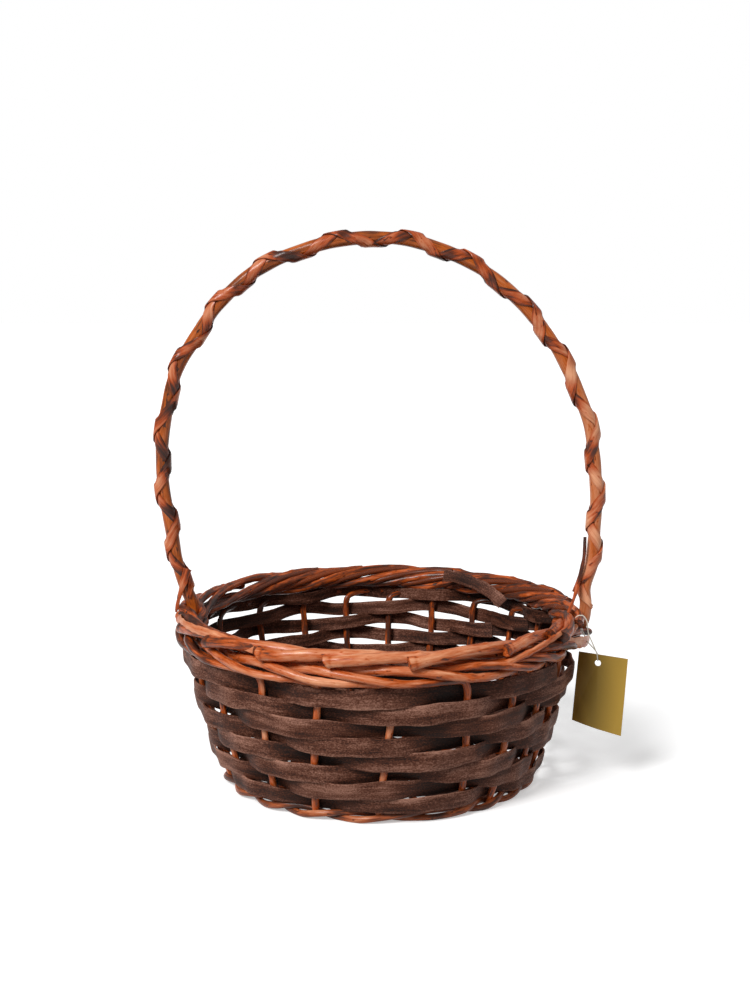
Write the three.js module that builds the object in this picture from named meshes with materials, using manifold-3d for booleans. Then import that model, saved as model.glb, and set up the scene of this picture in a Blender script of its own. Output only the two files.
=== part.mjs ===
// Round gift basket: wood chips woven round willow stakes, a braided border, a twined foot,
// a woven base and a hooped handle bound with two splints, with a hang tag on a thread.
// Millimetres, +Z up. The origin is under the middle of the base, on the surface it stands on.
// The handle's hoop lies in the plane y = 0. Bearings are counted in degrees from the front (-Y)
// towards the right (+X).

import * as THREE from 'three';
import Module from 'manifold-3d';

const wasm = await Module();
wasm.setup();

// Fit
const GAP = 0.3;
const EASE = 0.15;

// Wall: the stakes stand on a circle that widens upwards in a shallow curve
const STAKE_CIRCLE_AT_FOOT = 111.8;
const STAKE_CIRCLE_LEAN = 0.396;
const STAKE_CIRCLE_CURVE = 0.00142;
const STAKE_BEARINGS = [
  4, 25.5, 43, 57, 72, 87.5, 102, 114, 129, 145.5, 161,
  176.5, 191.5, 207, 225, 246, 267.5, 285, 303.5, 324, 342.5,
];
const STAKE_RADIUS = 2.5;
const STAKE_SIDES = 5;
const STAKE_BOTTOM = 2.2;
const STAKE_BEND = 98;
const STAKE_WALL_STEPS = 6;

// Wall weave: each chip passes outside two stakes and inside the third. The top one stands inside
// them all, under the border.
const CHIP_ROWS = 9;
const CHIP_THICKNESS = 1.2;
const CHIP_HEIGHT = 11.2;
const TOP_CHIP_HEIGHT = 8.4;
const CHIP_PITCH = 11.5;
const CHIP_BOTTOM = 8.6;
const CHIP_REPEAT = 3;
const CHIP_FLAT = 3.4;
const SEAM_STEP = 3;
const SEAM_DEGREES = 0.3;

// Border: every stake is turned down to the left and laid as one rod of the braid. The path is
// counted in stakes passed, with the radius from the basket's axis and the height at each place.
const BORDER_RADIUS = 3.2;
const BORDER_PATH = [
  { passed: 0.06, radius: 137.6, height: 103.6 },
  { passed: 0.3, radius: 141.6, height: 106.2 },
  { passed: 0.6, radius: 145.2, height: 106.8 },
  { passed: 1, radius: 147.9, height: 108.2 },
  { passed: 1.5, radius: 147.9, height: 112.9 },
  { passed: 2, radius: 144, height: 115.2 },
  { passed: 2.5, radius: 139.2, height: 113.4 },
  { passed: 3, radius: 135.2, height: 114.4 },
  { passed: 3.5, radius: 134.2, height: 118.8 },
  { passed: 4, radius: 136.8, height: 122.4 },
  { passed: 4.5, radius: 140.2, height: 124.6 },
  { passed: 5, radius: 144, height: 125.2 },
  { passed: 5.5, radius: 147.8, height: 123.4 },
  { passed: 5.85, radius: 149.1, height: 121.4 },
];
const BORDER_STEP = 0.29;
const BORDER_REACH = 6;

// The braid opens round each leg of the handle. Rods on the leg's outer side bulge out and the
// others give way inwards, over a few degrees to each side; the rod that ends there is shortened.
const CROSSES_OUTWARD = 4.42;
const LEG_BULGE_DEGREES = [3, 6.6];
const LEG_BULGE_PASSED = [0.28, 0.85];
const INNER_RODS_SHIFT = 4.2;

// Foot: two rods twined round the lower ends of the stakes
const FOOT_RADIUS = 2;
const FOOT_SIDES = 5;
const FOOT_STEPS_PER_STAKE = 4;
const FOOT_RISE = 2.3;
const FOOT_SINK = 0.25;
const FOOT_SEAM = 0.08;

// Base: five sticks laid across five, their ends fanned out and woven with chips
const STICKS_EACH_WAY = 5;
const STICK_WIDTH = 4.4;
const STICK_THICKNESS = 3;
const STICK_PITCH = 5;
const STICK_CROSSING = 13;
const STICK_FAN = 26;
const STICK_END = 104;
const BASE_LEVEL = 3.4;
const BASE_RINGS = 6;
const BASE_RING_RADIUS = 39;
const BASE_RING_PITCH = 11.9;
const BASE_RING_WIDTH = 11.4;
const BASE_CHIP_THICKNESS = 1;

// Handle: one hooped rod, whittled thin where its legs go down through the border. Each leg stands
// just right of its stake, at one radius for each of the heights in the border. Border rods that
// have passed more stakes than its inward count go inside it, and the rod that ends at it is cut
// that share of a stake's space early.
const HANDLE_RADIUS = 4;
const LEG_RADIUS = 2.3;
const LEG_TIP_RADIUS = 1.2;
const LEG_BOTTOM = 62;
const LEG_TIP_LENGTH = 12;
const LEG_IN_WALL = [101, 90, 76, LEG_BOTTOM];
const TAPER_FROM = 142;
const TAPER_TO = 130;
const HANDLE_SIDES = 8;
const HANDLE_STEPS_PER_POINT = 2;
const LEG_HEIGHTS_IN_BORDER = [128, 114, 107];
const LEGS = [
  { bearing: 270, side: -1, stake: 16, radii: [139.5, 139.5, 139.2], inward: 2.45, shortened: 0.4 },
  { bearing: 90, side: 1, stake: 5, radii: [152, 150, 146], inward: 1.3, shortened: 0.6 },
];
const HOOP = [
  [-144.5, 141], [-150.5, 162], [-154.5, 188], [-159, 214], [-160, 244], [-156.5, 270],
  [-148.5, 301], [-134, 326], [-117, 350], [-91, 373.5], [-59, 388.5], [-20, 397.5], [18, 397],
  [52, 387], [81, 371], [107, 347.5], [128.5, 320], [142.5, 294], [154, 264], [158.5, 236],
  [160.5, 207], [159.5, 176], [158, 158], [153.5, 140],
];

// Handle binding: two splints wound in opposite senses, the second over the first
const SPLINT_WIDTH = 5;
const SPLINT_THICKNESS = 0.8;
const SPLINT_TURN = 50;
const SPLINT_STEPS_PER_TURN = 12;
const SPLINT_RADII = [5.2, 7.1];
const SPLINT_START = 0.085;
const SPLINT_END = 0.92;

// Hang tag and its thread, which is slipped over the end of one border rod
const TAG_ROD = 10;
const TAG_ROD_PASSED = 5.65;
const TAG_ROD_OUT = 1.8;
const TAG_ROD_FREE = [5, 5.6];
const TAG_WIDTH = 39.5;
const TAG_HEIGHT = 58;
const TAG_THICKNESS = 0.8;
const TAG_HOLE_RADIUS = 2.3;
const TAG_HOLE_SIDES = 12;
const TAG_HOLE_FROM_LEFT = 16.4;
const TAG_HOLE_FROM_TOP = 7.2;
const TAG_HOLE = { x: 159.9, z: 91.4 };
const TAG_TILT = 4.8;
const TAG_TURN = 21;
const THREAD_RADIUS = 0.4;
const THREAD_SIDES = 5;
const THREAD_STEPS = 40;

const STAKES = STAKE_BEARINGS.length;
const radians = THREE.MathUtils.degToRad;

function finish(color, roughness) {
  return new THREE.MeshStandardMaterial({ color, roughness, metalness: 0 });
}

const MATERIALS = {
  stake: () => finish(0xa3583a, 0.5),
  chip: () => finish(0x4a332a, 0.75),
  foot: () => finish(0xb9622c, 0.5),
  stick: () => finish(0x8a5a3c, 0.7),
  handle: () => finish(0xa2491f, 0.35),
  splint: () => finish(0x6b2f1e, 0.45),
  tag: () => finish(0x9c7a1e, 0.4),
  thread: () => finish(0xc9b983, 0.6),
};

function place(bearing, radius, z) {
  const angle = radians(bearing);
  return new THREE.Vector3(radius * Math.sin(angle), -radius * Math.cos(angle), z);
}

function stakeCircle(z) {
  return STAKE_CIRCLE_AT_FOOT + STAKE_CIRCLE_LEAN * z - STAKE_CIRCLE_CURVE * z * z;
}

// Bearing of any place along the row of stakes, whole numbers being the stakes themselves
function bearingAt(place) {
  const turns = Math.floor(place / STAKES);
  const within = place - turns * STAKES;
  const before = Math.floor(within);
  const from = STAKE_BEARINGS[before];
  const to = before + 1 < STAKES ? STAKE_BEARINGS[before + 1] : STAKE_BEARINGS[0] + 360;
  return turns * 360 + from + (to - from) * (within - before);
}

function bearingBetween(a, b) {
  return THREE.MathUtils.euclideanModulo(b - a + 180, 360) - 180;
}

// Closed solid through a row of rings that all have the same number of points
function loft(rings) {
  const sides = rings[0].length;
  const positions = rings.flat().flatMap((point) => [point.x, point.y, point.z]);
  const index = [];
  for (let r = 0; r + 1 < rings.length; r += 1) {
    for (let s = 0; s < sides; s += 1) {
      const a = r * sides + s;
      const b = r * sides + ((s + 1) % sides);
      index.push(a, b, b + sides, a, b + sides, a + sides);
    }
  }
  const last = (rings.length - 1) * sides;
  for (let s = 1; s + 1 < sides; s += 1) {
    index.push(0, s + 1, s, last, last + s, last + s + 1);
  }
  return facingOut(positions, index);
}

// Ring-shaped solid through rings whose last one joins the first
function closedLoft(rings) {
  const sides = rings[0].length;
  const count = rings.length;
  const positions = rings.flat().flatMap((point) => [point.x, point.y, point.z]);
  const index = [];
  for (let r = 0; r < count; r += 1) {
    const next = ((r + 1) % count) * sides;
    for (let s = 0; s < sides; s += 1) {
      const a = r * sides + s;
      const b = r * sides + ((s + 1) % sides);
      const c = next + s;
      const d = next + ((s + 1) % sides);
      index.push(a, b, d, a, d, c);
    }
  }
  return facingOut(positions, index);
}

function facingOut(positions, index) {
  const at = (i) => new THREE.Vector3().fromArray(positions, 3 * i);
  let volume = 0;
  for (let i = 0; i < index.length; i += 3) {
    volume += at(index[i]).dot(at(index[i + 1]).cross(at(index[i + 2])));
  }
  const ordered = volume > 0 ? index : index.slice().reverse();
  const geometry = new THREE.BufferGeometry();
  geometry.setAttribute('position', new THREE.Float32BufferAttribute(positions, 3));
  geometry.setIndex(ordered);
  geometry.computeVertexNormals();
  return geometry;
}

// Rings of a rod along a path, carried round the bends without twisting
function rodRings(points, radiusAt, sides, firstNormal, closed = false) {
  const count = points.length;
  let normal = firstNormal.clone();
  return points.map((point, i) => {
    const before = points[closed ? (i + count - 1) % count : Math.max(i - 1, 0)];
    const after = points[closed ? (i + 1) % count : Math.min(i + 1, count - 1)];
    const along = after.clone().sub(before).normalize();
    normal = normal.addScaledVector(along, -normal.dot(along)).normalize();
    const across = along.clone().cross(normal);
    return Array.from({ length: sides }, (_, s) => {
      const angle = (2 * Math.PI * s) / sides;
      return point.clone()
        .addScaledVector(normal, radiusAt(i) * Math.cos(angle))
        .addScaledVector(across, radiusAt(i) * Math.sin(angle));
    });
  });
}

// Smooth value between the entries of the border path
function borderCurve() {
  const points = BORDER_PATH.map((entry) => new THREE.Vector3(entry.passed, entry.radius, entry.height));
  return new THREE.CatmullRomCurve3(points, false, 'catmullrom', 0.5);
}

function borderPlace(curve, passed) {
  const spans = BORDER_PATH.length - 1;
  const span = Math.min(BORDER_PATH.findIndex((entry) => entry.passed >= passed), spans);
  const from = Math.max(span - 1, 0);
  const fraction = (passed - BORDER_PATH[from].passed)
    / (BORDER_PATH[from + 1].passed - BORDER_PATH[from].passed);
  return curve.getPoint((from + fraction) / spans);
}

function legRadiusInBorder(leg, height) {
  const below = Math.max(LEG_HEIGHTS_IN_BORDER.findIndex((z) => z <= height), 1);
  const [high, low] = LEG_HEIGHTS_IN_BORDER.slice(below - 1, below + 1);
  const fraction = THREE.MathUtils.clamp((height - low) / (high - low), 0, 1);
  return THREE.MathUtils.lerp(leg.radii[below], leg.radii[below - 1], fraction);
}

// Radius of a border rod after the braid has opened round the legs of the handle
function openedForLegs(bearing, radius, height, passed) {
  const clear = LEG_RADIUS + BORDER_RADIUS + 2 * GAP;
  let opened = radius;
  for (const leg of LEGS) {
    const outer = passed < leg.inward || passed > CROSSES_OUTWARD;
    const away = Math.abs(bearingBetween(leg.bearing, bearing));
    const bulge = 1 - THREE.MathUtils.smoothstep(away, ...LEG_BULGE_DEGREES);
    const middle = legRadiusInBorder(leg, height);
    const wanted = outer
      ? Math.max(middle + clear, radius)
      : Math.min(middle - clear, radius - INNER_RODS_SHIFT);
    opened += (wanted - radius) * bulge * THREE.MathUtils.smoothstep(passed, ...LEG_BULGE_PASSED);
  }
  return opened;
}

function stakeRod(number) {
  const curve = borderCurve();
  const points = [];
  const radii = [];
  for (let i = 0; i <= STAKE_WALL_STEPS; i += 1) {
    const z = THREE.MathUtils.lerp(STAKE_BOTTOM, STAKE_BEND, i / STAKE_WALL_STEPS);
    points.push(place(STAKE_BEARINGS[number], stakeCircle(z), z));
    radii.push(STAKE_RADIUS);
  }
  const first = BORDER_PATH[0].passed;
  const legAtEnd = LEGS.find((leg) => leg.stake === (number + STAKES - BORDER_REACH) % STAKES);
  const end = BORDER_PATH[BORDER_PATH.length - 1].passed - (legAtEnd ? legAtEnd.shortened : 0);
  const steps = Math.round((end - first) / BORDER_STEP);
  for (let i = 0; i <= steps; i += 1) {
    const passed = THREE.MathUtils.lerp(first, end, i / steps);
    const at = borderPlace(curve, passed);
    const bearing = bearingAt(number - passed);
    const freed = THREE.MathUtils.smoothstep(passed, ...TAG_ROD_FREE);
    const out = number === TAG_ROD ? TAG_ROD_OUT * freed : 0;
    points.push(place(bearing, openedForLegs(bearing, at.y, at.z, passed) + out, at.z));
    radii.push(THREE.MathUtils.lerp(STAKE_RADIUS, BORDER_RADIUS, Math.min(passed, 1)));
  }
  return loft(rodRings(points, (i) => radii[i], STAKE_SIDES, place(STAKE_BEARINGS[number], 1, 0)));
}

// Knots of one chip row, in order of bearing: where it lies flat against each post, and which side.
// A leg of the handle and the stake beside it are passed on the same side.
function chipKnots(row, low, high) {
  const half = THREE.MathUtils.radToDeg(CHIP_FLAT / stakeCircle(low));
  const insides = [];
  const posts = STAKE_BEARINGS.map((bearing, stake) => {
    const inside = row === CHIP_ROWS - 1 || (stake + row + 1) % CHIP_REPEAT === 0;
    const leg = LEGS.find((candidate) => candidate.stake === stake && high > LEG_BOTTOM);
    if (inside) insides.push(stake);
    return {
      from: bearing - half,
      to: (leg ? leg.bearing : bearing) + half,
      middle: bearing,
      offset: (inside ? -1 : 1) * (STAKE_RADIUS + GAP + EASE + CHIP_THICKNESS / 2),
    };
  });
  const seam = insides[(row * SEAM_STEP) % insides.length];
  const knots = [{ bearing: posts[seam].middle + SEAM_DEGREES, offset: posts[seam].offset }];
  knots.push({ bearing: posts[seam].to, offset: posts[seam].offset });
  for (let i = 1; i < STAKES; i += 1) {
    const post = posts[(seam + i) % STAKES];
    const turned = seam + i >= STAKES ? 360 : 0;
    knots.push({ bearing: post.from + turned, offset: post.offset });
    knots.push({ bearing: post.to + turned, offset: post.offset });
  }
  knots.push({ bearing: posts[seam].from + 360, offset: posts[seam].offset });
  knots.push({ bearing: posts[seam].middle + 360 - SEAM_DEGREES, offset: posts[seam].offset });
  return knots;
}

function chipRow(row) {
  const low = CHIP_BOTTOM + row * CHIP_PITCH;
  const high = low + (row === CHIP_ROWS - 1 ? TOP_CHIP_HEIGHT : CHIP_HEIGHT);
  const half = CHIP_THICKNESS / 2;
  const rings = chipKnots(row, low, high).map(({ bearing, offset }) => [
    place(bearing, stakeCircle(low) + offset - half, low),
    place(bearing, stakeCircle(low) + offset + half, low),
    place(bearing, stakeCircle(high) + offset + half, high),
    place(bearing, stakeCircle(high) + offset - half, high),
  ]);
  return loft(rings);
}

// One of the two foot rods: outside a stake, over its fellow, inside the next, under its fellow
function footRod(turn) {
  const swing = STAKE_RADIUS + GAP + EASE + FOOT_RADIUS;
  const level = FOOT_RADIUS + FOOT_RISE - FOOT_SINK;
  const steps = STAKES * FOOT_STEPS_PER_STAKE;
  const points = [];
  for (let i = 0; i <= steps; i += 1) {
    const stake = THREE.MathUtils.clamp(i / FOOT_STEPS_PER_STAKE, FOOT_SEAM, STAKES - FOOT_SEAM);
    const angle = Math.PI * (stake + turn);
    const radius = stakeCircle(level) + swing * Math.cos(angle);
    points.push(place(bearingAt(stake), radius, level + FOOT_RISE * Math.sin(angle)));
  }
  const rings = rodRings(points, () => FOOT_RADIUS, FOOT_SIDES, new THREE.Vector3(0, 0, 1));
  return cutFlatBelow(loft(rings));
}

function toSolid(geometry) {
  const vertProperties = new Float32Array(geometry.getAttribute('position').array);
  const triVerts = new Uint32Array(geometry.getIndex().array);
  return new wasm.Manifold(new wasm.Mesh({ numProp: 3, vertProperties, triVerts }));
}

function fromSolid(solid) {
  const mesh = solid.getMesh();
  return facingOut(Array.from(mesh.vertProperties), Array.from(mesh.triVerts));
}

// Takes off what would reach below the surface that the basket stands on
function cutFlatBelow(geometry) {
  const square = (z) => [[-1, -1], [1, -1], [1, 1], [-1, 1]]
    .map(([x, y]) => new THREE.Vector3(x * STICK_END * 2, y * STICK_END * 2, z));
  return fromSolid(toSolid(geometry).subtract(toSolid(loft([square(-FOOT_RADIUS * 4), square(0)]))));
}

// Base stick: a flat bar that lies over or under its crossing, then fans out to its place in the ring
function baseStick(lower, number) {
  const fromMiddle = number - (STICKS_EACH_WAY - 1) / 2;
  const offset = fromMiddle * STICK_PITCH;
  const spread = radians(fromMiddle * (360 / (4 * STICKS_EACH_WAY)));
  const crossingLevel = lower ? STICK_THICKNESS / 2 : 1.5 * STICK_THICKNESS + GAP;
  const half = [
    { x: offset, y: 0, z: crossingLevel },
    { x: offset, y: STICK_CROSSING, z: crossingLevel },
    { x: STICK_FAN * Math.sin(spread), y: STICK_FAN * Math.cos(spread), z: BASE_LEVEL },
    { x: STICK_END * Math.sin(spread), y: STICK_END * Math.cos(spread), z: BASE_LEVEL },
  ];
  const path = half.slice(1).reverse().map(({ x, y, z }) => new THREE.Vector3(x, -y, z))
    .concat(half.slice(1).map(({ x, y, z }) => new THREE.Vector3(x, y, z)));
  const rings = path.map((point, i) => {
    const before = path[Math.max(i - 1, 0)];
    const after = path[Math.min(i + 1, path.length - 1)];
    const across = new THREE.Vector3(after.y - before.y, before.x - after.x, 0).normalize();
    return [[-1, -1], [1, -1], [1, 1], [-1, 1]].map(([w, t]) => point.clone()
      .addScaledVector(across, (w * STICK_WIDTH) / 2)
      .add(new THREE.Vector3(0, 0, (t * STICK_THICKNESS) / 2)));
  });
  const geometry = loft(rings);
  if (!lower) geometry.rotateZ(Math.PI / 2);
  return geometry;
}

// Chip ring of the base, over one arm and under the next, the other way round in the next ring
function baseRing(ring) {
  const arms = 4 * STICKS_EACH_WAY;
  const radius = BASE_RING_RADIUS + ring * BASE_RING_PITCH;
  const inner = radius - BASE_RING_WIDTH / 2;
  const outer = radius + BASE_RING_WIDTH / 2;
  const lift = (STICK_THICKNESS + BASE_CHIP_THICKNESS) / 2 + GAP;
  const rings = [];
  const station = (arm, away, level) => {
    const angle = (360 / arms) * arm;
    const corner = (r, up) => {
      const turn = THREE.MathUtils.radToDeg(away / r);
      return place(angle + turn, r, level + (up * BASE_CHIP_THICKNESS) / 2);
    };
    rings.push([corner(inner, -1), corner(outer, -1), corner(outer, 1), corner(inner, 1)]);
  };
  const reach = STICK_WIDTH / 2 + GAP;
  for (let arm = 0; arm <= arms; arm += 1) {
    const level = BASE_LEVEL + ((arm + ring) % 2 === 0 ? lift : -lift);
    station(arm, arm === 0 ? GAP / 2 : -reach, level);
    station(arm, arm === arms ? -GAP / 2 : reach, level);
  }
  return loft(rings);
}

// Centre line of the handle, from the tip of the left leg over the hoop to the tip of the right leg
function handleCurve() {
  const leg = ({ side, radii }) => [
    ...LEG_HEIGHTS_IN_BORDER.map((z, i) => [radii[i], z]),
    ...LEG_IN_WALL.map((z) => [stakeCircle(z), z]),
  ].map(([radius, z]) => new THREE.Vector3(side * radius, 0, z));
  const hoop = HOOP.map(([x, z]) => new THREE.Vector3(x, 0, z));
  const path = leg(LEGS[0]).reverse().concat(hoop, leg(LEGS[1]));
  return new THREE.CatmullRomCurve3(path, false, 'centripetal');
}

function handleRadius(z) {
  const above = THREE.MathUtils.smoothstep(z, TAPER_TO, TAPER_FROM);
  const tip = THREE.MathUtils.clamp((z - LEG_BOTTOM) / LEG_TIP_LENGTH, 0, 1);
  return THREE.MathUtils.lerp(THREE.MathUtils.lerp(LEG_TIP_RADIUS, LEG_RADIUS, tip), HANDLE_RADIUS, above);
}

function handleCore(curve) {
  const steps = HANDLE_STEPS_PER_POINT * (curve.points.length - 1);
  const points = Array.from({ length: steps + 1 }, (_, i) => curve.getPoint(i / steps));
  const radiusAt = (i) => handleRadius(points[i].z);
  return loft(rodRings(points, radiusAt, HANDLE_SIDES, new THREE.Vector3(0, 1, 0)));
}

// Flat splint wound round the handle at a steady turn, to the right or to the left
function splint(curve, radius, sense) {
  const length = curve.getLength() * (SPLINT_END - SPLINT_START);
  const turns = length / SPLINT_TURN;
  const steps = Math.round(turns * SPLINT_STEPS_PER_TURN);
  const centre = [];
  for (let i = 0; i <= steps; i += 1) {
    const t = THREE.MathUtils.lerp(SPLINT_START, SPLINT_END, i / steps);
    const point = curve.getPointAt(t);
    const along = curve.getTangentAt(t);
    const outward = new THREE.Vector3(-along.z, 0, along.x);
    const angle = sense * 2 * Math.PI * turns * (i / steps);
    const normal = outward.multiplyScalar(Math.cos(angle)).add(new THREE.Vector3(0, Math.sin(angle), 0));
    centre.push({ point: point.addScaledVector(normal, radius), normal });
  }
  const rings = centre.map(({ point, normal }, i) => {
    const before = centre[Math.max(i - 1, 0)].point;
    const after = centre[Math.min(i + 1, steps)].point;
    const across = after.clone().sub(before).cross(normal).normalize();
    return [[-1, -1], [1, -1], [1, 1], [-1, 1]].map(([w, t]) => point.clone()
      .addScaledVector(across, (w * SPLINT_WIDTH) / 2)
      .addScaledVector(normal, (t * SPLINT_THICKNESS) / 2));
  });
  return loft(rings);
}

// Where the thread hangs on the tag's border rod
function threadHold() {
  const at = borderPlace(borderCurve(), TAG_ROD_PASSED);
  const bearing = bearingAt(TAG_ROD - TAG_ROD_PASSED);
  return place(bearing, openedForLegs(bearing, at.y, at.z, TAG_ROD_PASSED) + TAG_ROD_OUT, at.z);
}

function hangTag(hold) {
  const card = new THREE.Shape();
  card.moveTo(-TAG_HOLE_FROM_LEFT, TAG_HOLE_FROM_TOP);
  card.lineTo(TAG_WIDTH - TAG_HOLE_FROM_LEFT, TAG_HOLE_FROM_TOP);
  card.lineTo(TAG_WIDTH - TAG_HOLE_FROM_LEFT, TAG_HOLE_FROM_TOP - TAG_HEIGHT);
  card.lineTo(-TAG_HOLE_FROM_LEFT, TAG_HOLE_FROM_TOP - TAG_HEIGHT);
  card.closePath();
  const round = Array.from({ length: TAG_HOLE_SIDES }, (_, i) => {
    const angle = (2 * Math.PI * i) / TAG_HOLE_SIDES;
    return new THREE.Vector2(TAG_HOLE_RADIUS * Math.cos(angle), TAG_HOLE_RADIUS * Math.sin(angle));
  });
  card.holes.push(new THREE.Path(round));
  const options = { depth: TAG_THICKNESS, bevelEnabled: false };
  const geometry = new THREE.ExtrudeGeometry(card, options);
  geometry.translate(0, 0, -TAG_THICKNESS / 2);
  geometry.rotateZ(-radians(TAG_TILT));
  geometry.rotateX(Math.PI / 2);
  geometry.rotateZ(-radians(TAG_TURN));
  geometry.translate(TAG_HOLE.x, hold.y, TAG_HOLE.z);
  return geometry;
}

// Thread: once round the rod, down its outer side, through the tag's hole and up behind
function tagLoop(hold) {
  const round = BORDER_RADIUS + 2 * GAP + 2 * EASE + THREAD_RADIUS;
  const hole = new THREE.Vector3(TAG_HOLE.x, hold.y, TAG_HOLE.z);
  const topOfHole = TAG_HOLE_RADIUS - THREAD_RADIUS - GAP;
  const clearOfCard = TAG_THICKNESS / 2 + GAP + THREAD_RADIUS;
  const fromHold = (x, y, z) => new THREE.Vector3(x, y, z).add(hold);
  const fromHole = (x, y, z) => new THREE.Vector3(x, y, z)
    .applyAxisAngle(new THREE.Vector3(0, 0, 1), -radians(TAG_TURN)).add(hole);
  const points = [
    fromHold(0, 0, round),
    fromHold(round, 0, 0),
    fromHold(round + 1, -clearOfCard, -8),
    fromHole(-0.6, -clearOfCard - 0.4, topOfHole + 5),
    fromHole(0, -clearOfCard, topOfHole + 0.4),
    fromHole(0, 0, topOfHole - 0.4),
    fromHole(0, clearOfCard, topOfHole + 0.4),
    fromHole(-1, clearOfCard + 0.4, topOfHole + 5),
    fromHold(4.4, clearOfCard, -14),
    fromHold(2, 0.4, -8.5),
    fromHold(-1.2, 0, -4.4),
    fromHold(-round, 0, 0),
    fromHold(-3.2, 0, 3.2),
    fromHold(-1.7, 0, 4.2),
  ];
  const curve = new THREE.CatmullRomCurve3(points, true, 'centripetal');
  const around = Array.from({ length: THREAD_STEPS }, (_, i) => curve.getPointAt(i / THREAD_STEPS));
  const rings = rodRings(around, () => THREAD_RADIUS, THREAD_SIDES, new THREE.Vector3(0, 1, 0), true);
  return closedLoft(rings);
}

const basket = new THREE.Group();

function add(name, geometry, material) {
  const mesh = new THREE.Mesh(geometry, material);
  mesh.name = name;
  basket.add(mesh);
}

const numbered = (number) => String(number + 1).padStart(2, '0');

for (let stake = 0; stake < STAKES; stake += 1) {
  add(`stake_${numbered(stake)}`, stakeRod(stake), MATERIALS.stake());
}
for (let row = 0; row < CHIP_ROWS; row += 1) {
  add(`wall_chip_${numbered(row)}`, chipRow(row), MATERIALS.chip());
}
add('foot_rod_a', footRod(0), MATERIALS.foot());
add('foot_rod_b', footRod(1), MATERIALS.foot());
for (let stick = 0; stick < STICKS_EACH_WAY; stick += 1) {
  add(`base_stick_lower_${numbered(stick)}`, baseStick(true, stick), MATERIALS.stick());
  add(`base_stick_upper_${numbered(stick)}`, baseStick(false, stick), MATERIALS.stick());
}
for (let ring = 0; ring < BASE_RINGS; ring += 1) {
  add(`base_chip_${numbered(ring)}`, baseRing(ring), MATERIALS.chip());
}
const hoopCurve = handleCurve();
add('handle_core', handleCore(hoopCurve), MATERIALS.handle());
add('handle_splint_inner', splint(hoopCurve, SPLINT_RADII[0], 1), MATERIALS.splint());
add('handle_splint_outer', splint(hoopCurve, SPLINT_RADII[1], -1), MATERIALS.splint());
const hold = threadHold();
add('hang_tag', hangTag(hold), MATERIALS.tag());
add('tag_thread', tagLoop(hold), MATERIALS.thread());

export default basket;
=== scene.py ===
"""Look model of a round willow gift basket with a hooped handle and a hang tag.

Metres, +Z up, the front towards -Y. Bearings are degrees from the front towards +X. A strand is
made straight along X, shaped there, and then laid along its route through the basket.
"""

import math
import random

import bmesh
import bpy
import numpy as np
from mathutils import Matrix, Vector


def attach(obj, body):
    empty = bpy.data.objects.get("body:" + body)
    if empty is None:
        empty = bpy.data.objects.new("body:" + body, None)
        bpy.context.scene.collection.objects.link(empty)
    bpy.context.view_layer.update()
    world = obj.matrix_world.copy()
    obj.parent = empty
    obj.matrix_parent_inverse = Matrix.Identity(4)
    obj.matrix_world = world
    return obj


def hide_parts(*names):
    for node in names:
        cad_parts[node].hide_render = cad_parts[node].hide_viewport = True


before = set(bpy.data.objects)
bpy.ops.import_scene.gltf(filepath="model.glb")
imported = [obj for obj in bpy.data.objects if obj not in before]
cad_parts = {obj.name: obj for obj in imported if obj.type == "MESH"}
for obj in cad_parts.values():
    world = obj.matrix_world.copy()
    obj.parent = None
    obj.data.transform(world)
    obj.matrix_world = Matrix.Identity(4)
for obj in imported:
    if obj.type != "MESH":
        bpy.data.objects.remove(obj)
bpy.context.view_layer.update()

bl_info = {
    "name": "Round Willow Basket",
    "version": (1, 0, 0),
    "blender": (4, 5, 0),
    "location": "View3D > Sidebar > Basket",
    "description": "Builds the woven basket, its bound handle and its tag round the packed frame",
    "category": "Add Mesh",
}

MM = 0.001

# Sides of the basket, as bearings
LEFT = 270
RIGHT = 90

# Bearings of the stakes, and their two ends in the wall
STAKE_BEARINGS = [
    4, 25.5, 43, 57, 72, 87.5, 102, 114, 129, 145.5, 161,
    176.5, 191.5, 207, 225, 246, 267.5, 285, 303.5, 324, 342.5,
]
STAKES = len(STAKE_BEARINGS)
STAKE_BOTTOM = 2.2 * MM
STAKE_BEND = 98 * MM
WALL_END = 104 * MM

# Circle that the stakes stand on, in mm: its radius at the foot, how it widens upwards, and how it
# widens less and less
CIRCLE_AT_FOOT = 111.8
CIRCLE_LEAN = 0.396
CIRCLE_CURVE = 0.00142

# Path of a rod in the border: the number of stakes it has passed, and its radius and height in mm
BORDER_PATH = [
    (0.06, 137.6, 103.6), (0.3, 141.6, 106.2), (0.6, 145.2, 106.8), (1, 147.9, 108.2),
    (1.5, 147.9, 112.9), (2, 144, 115.2), (2.5, 139.2, 113.4), (3, 135.2, 114.4),
    (3.5, 134.2, 118.8), (4, 136.8, 122.4), (4.5, 140.2, 124.6), (5, 144, 125.2),
    (5.5, 147.8, 123.4), (5.85, 149.1, 121.4),
]
BORDER_STAKE_GAP = 17
CROSSES_OUTWARD = 4.42

# Sag of a rod in the border, where it sets in and ends, and how much a free end rises or falls
SAG_STARTS = (0.6, 1.6)
SAG_ENDS = (5.4, 5.85)
SAG_OUT = 0.9 * MM
SAG_UP = 0.8 * MM
FREE_END = (4.6, 5.6)
FREE_LIFT = 0.5

# How the braid opens round the legs of the handle
LEG_BULGE_DEGREES = (3, 6.6)
LEG_BULGE_PASSED = (0.28, 0.85)
LEG_CLEAR = 6.8 * MM
INNER_RODS_SHIFT = 4.2 * MM

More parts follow.
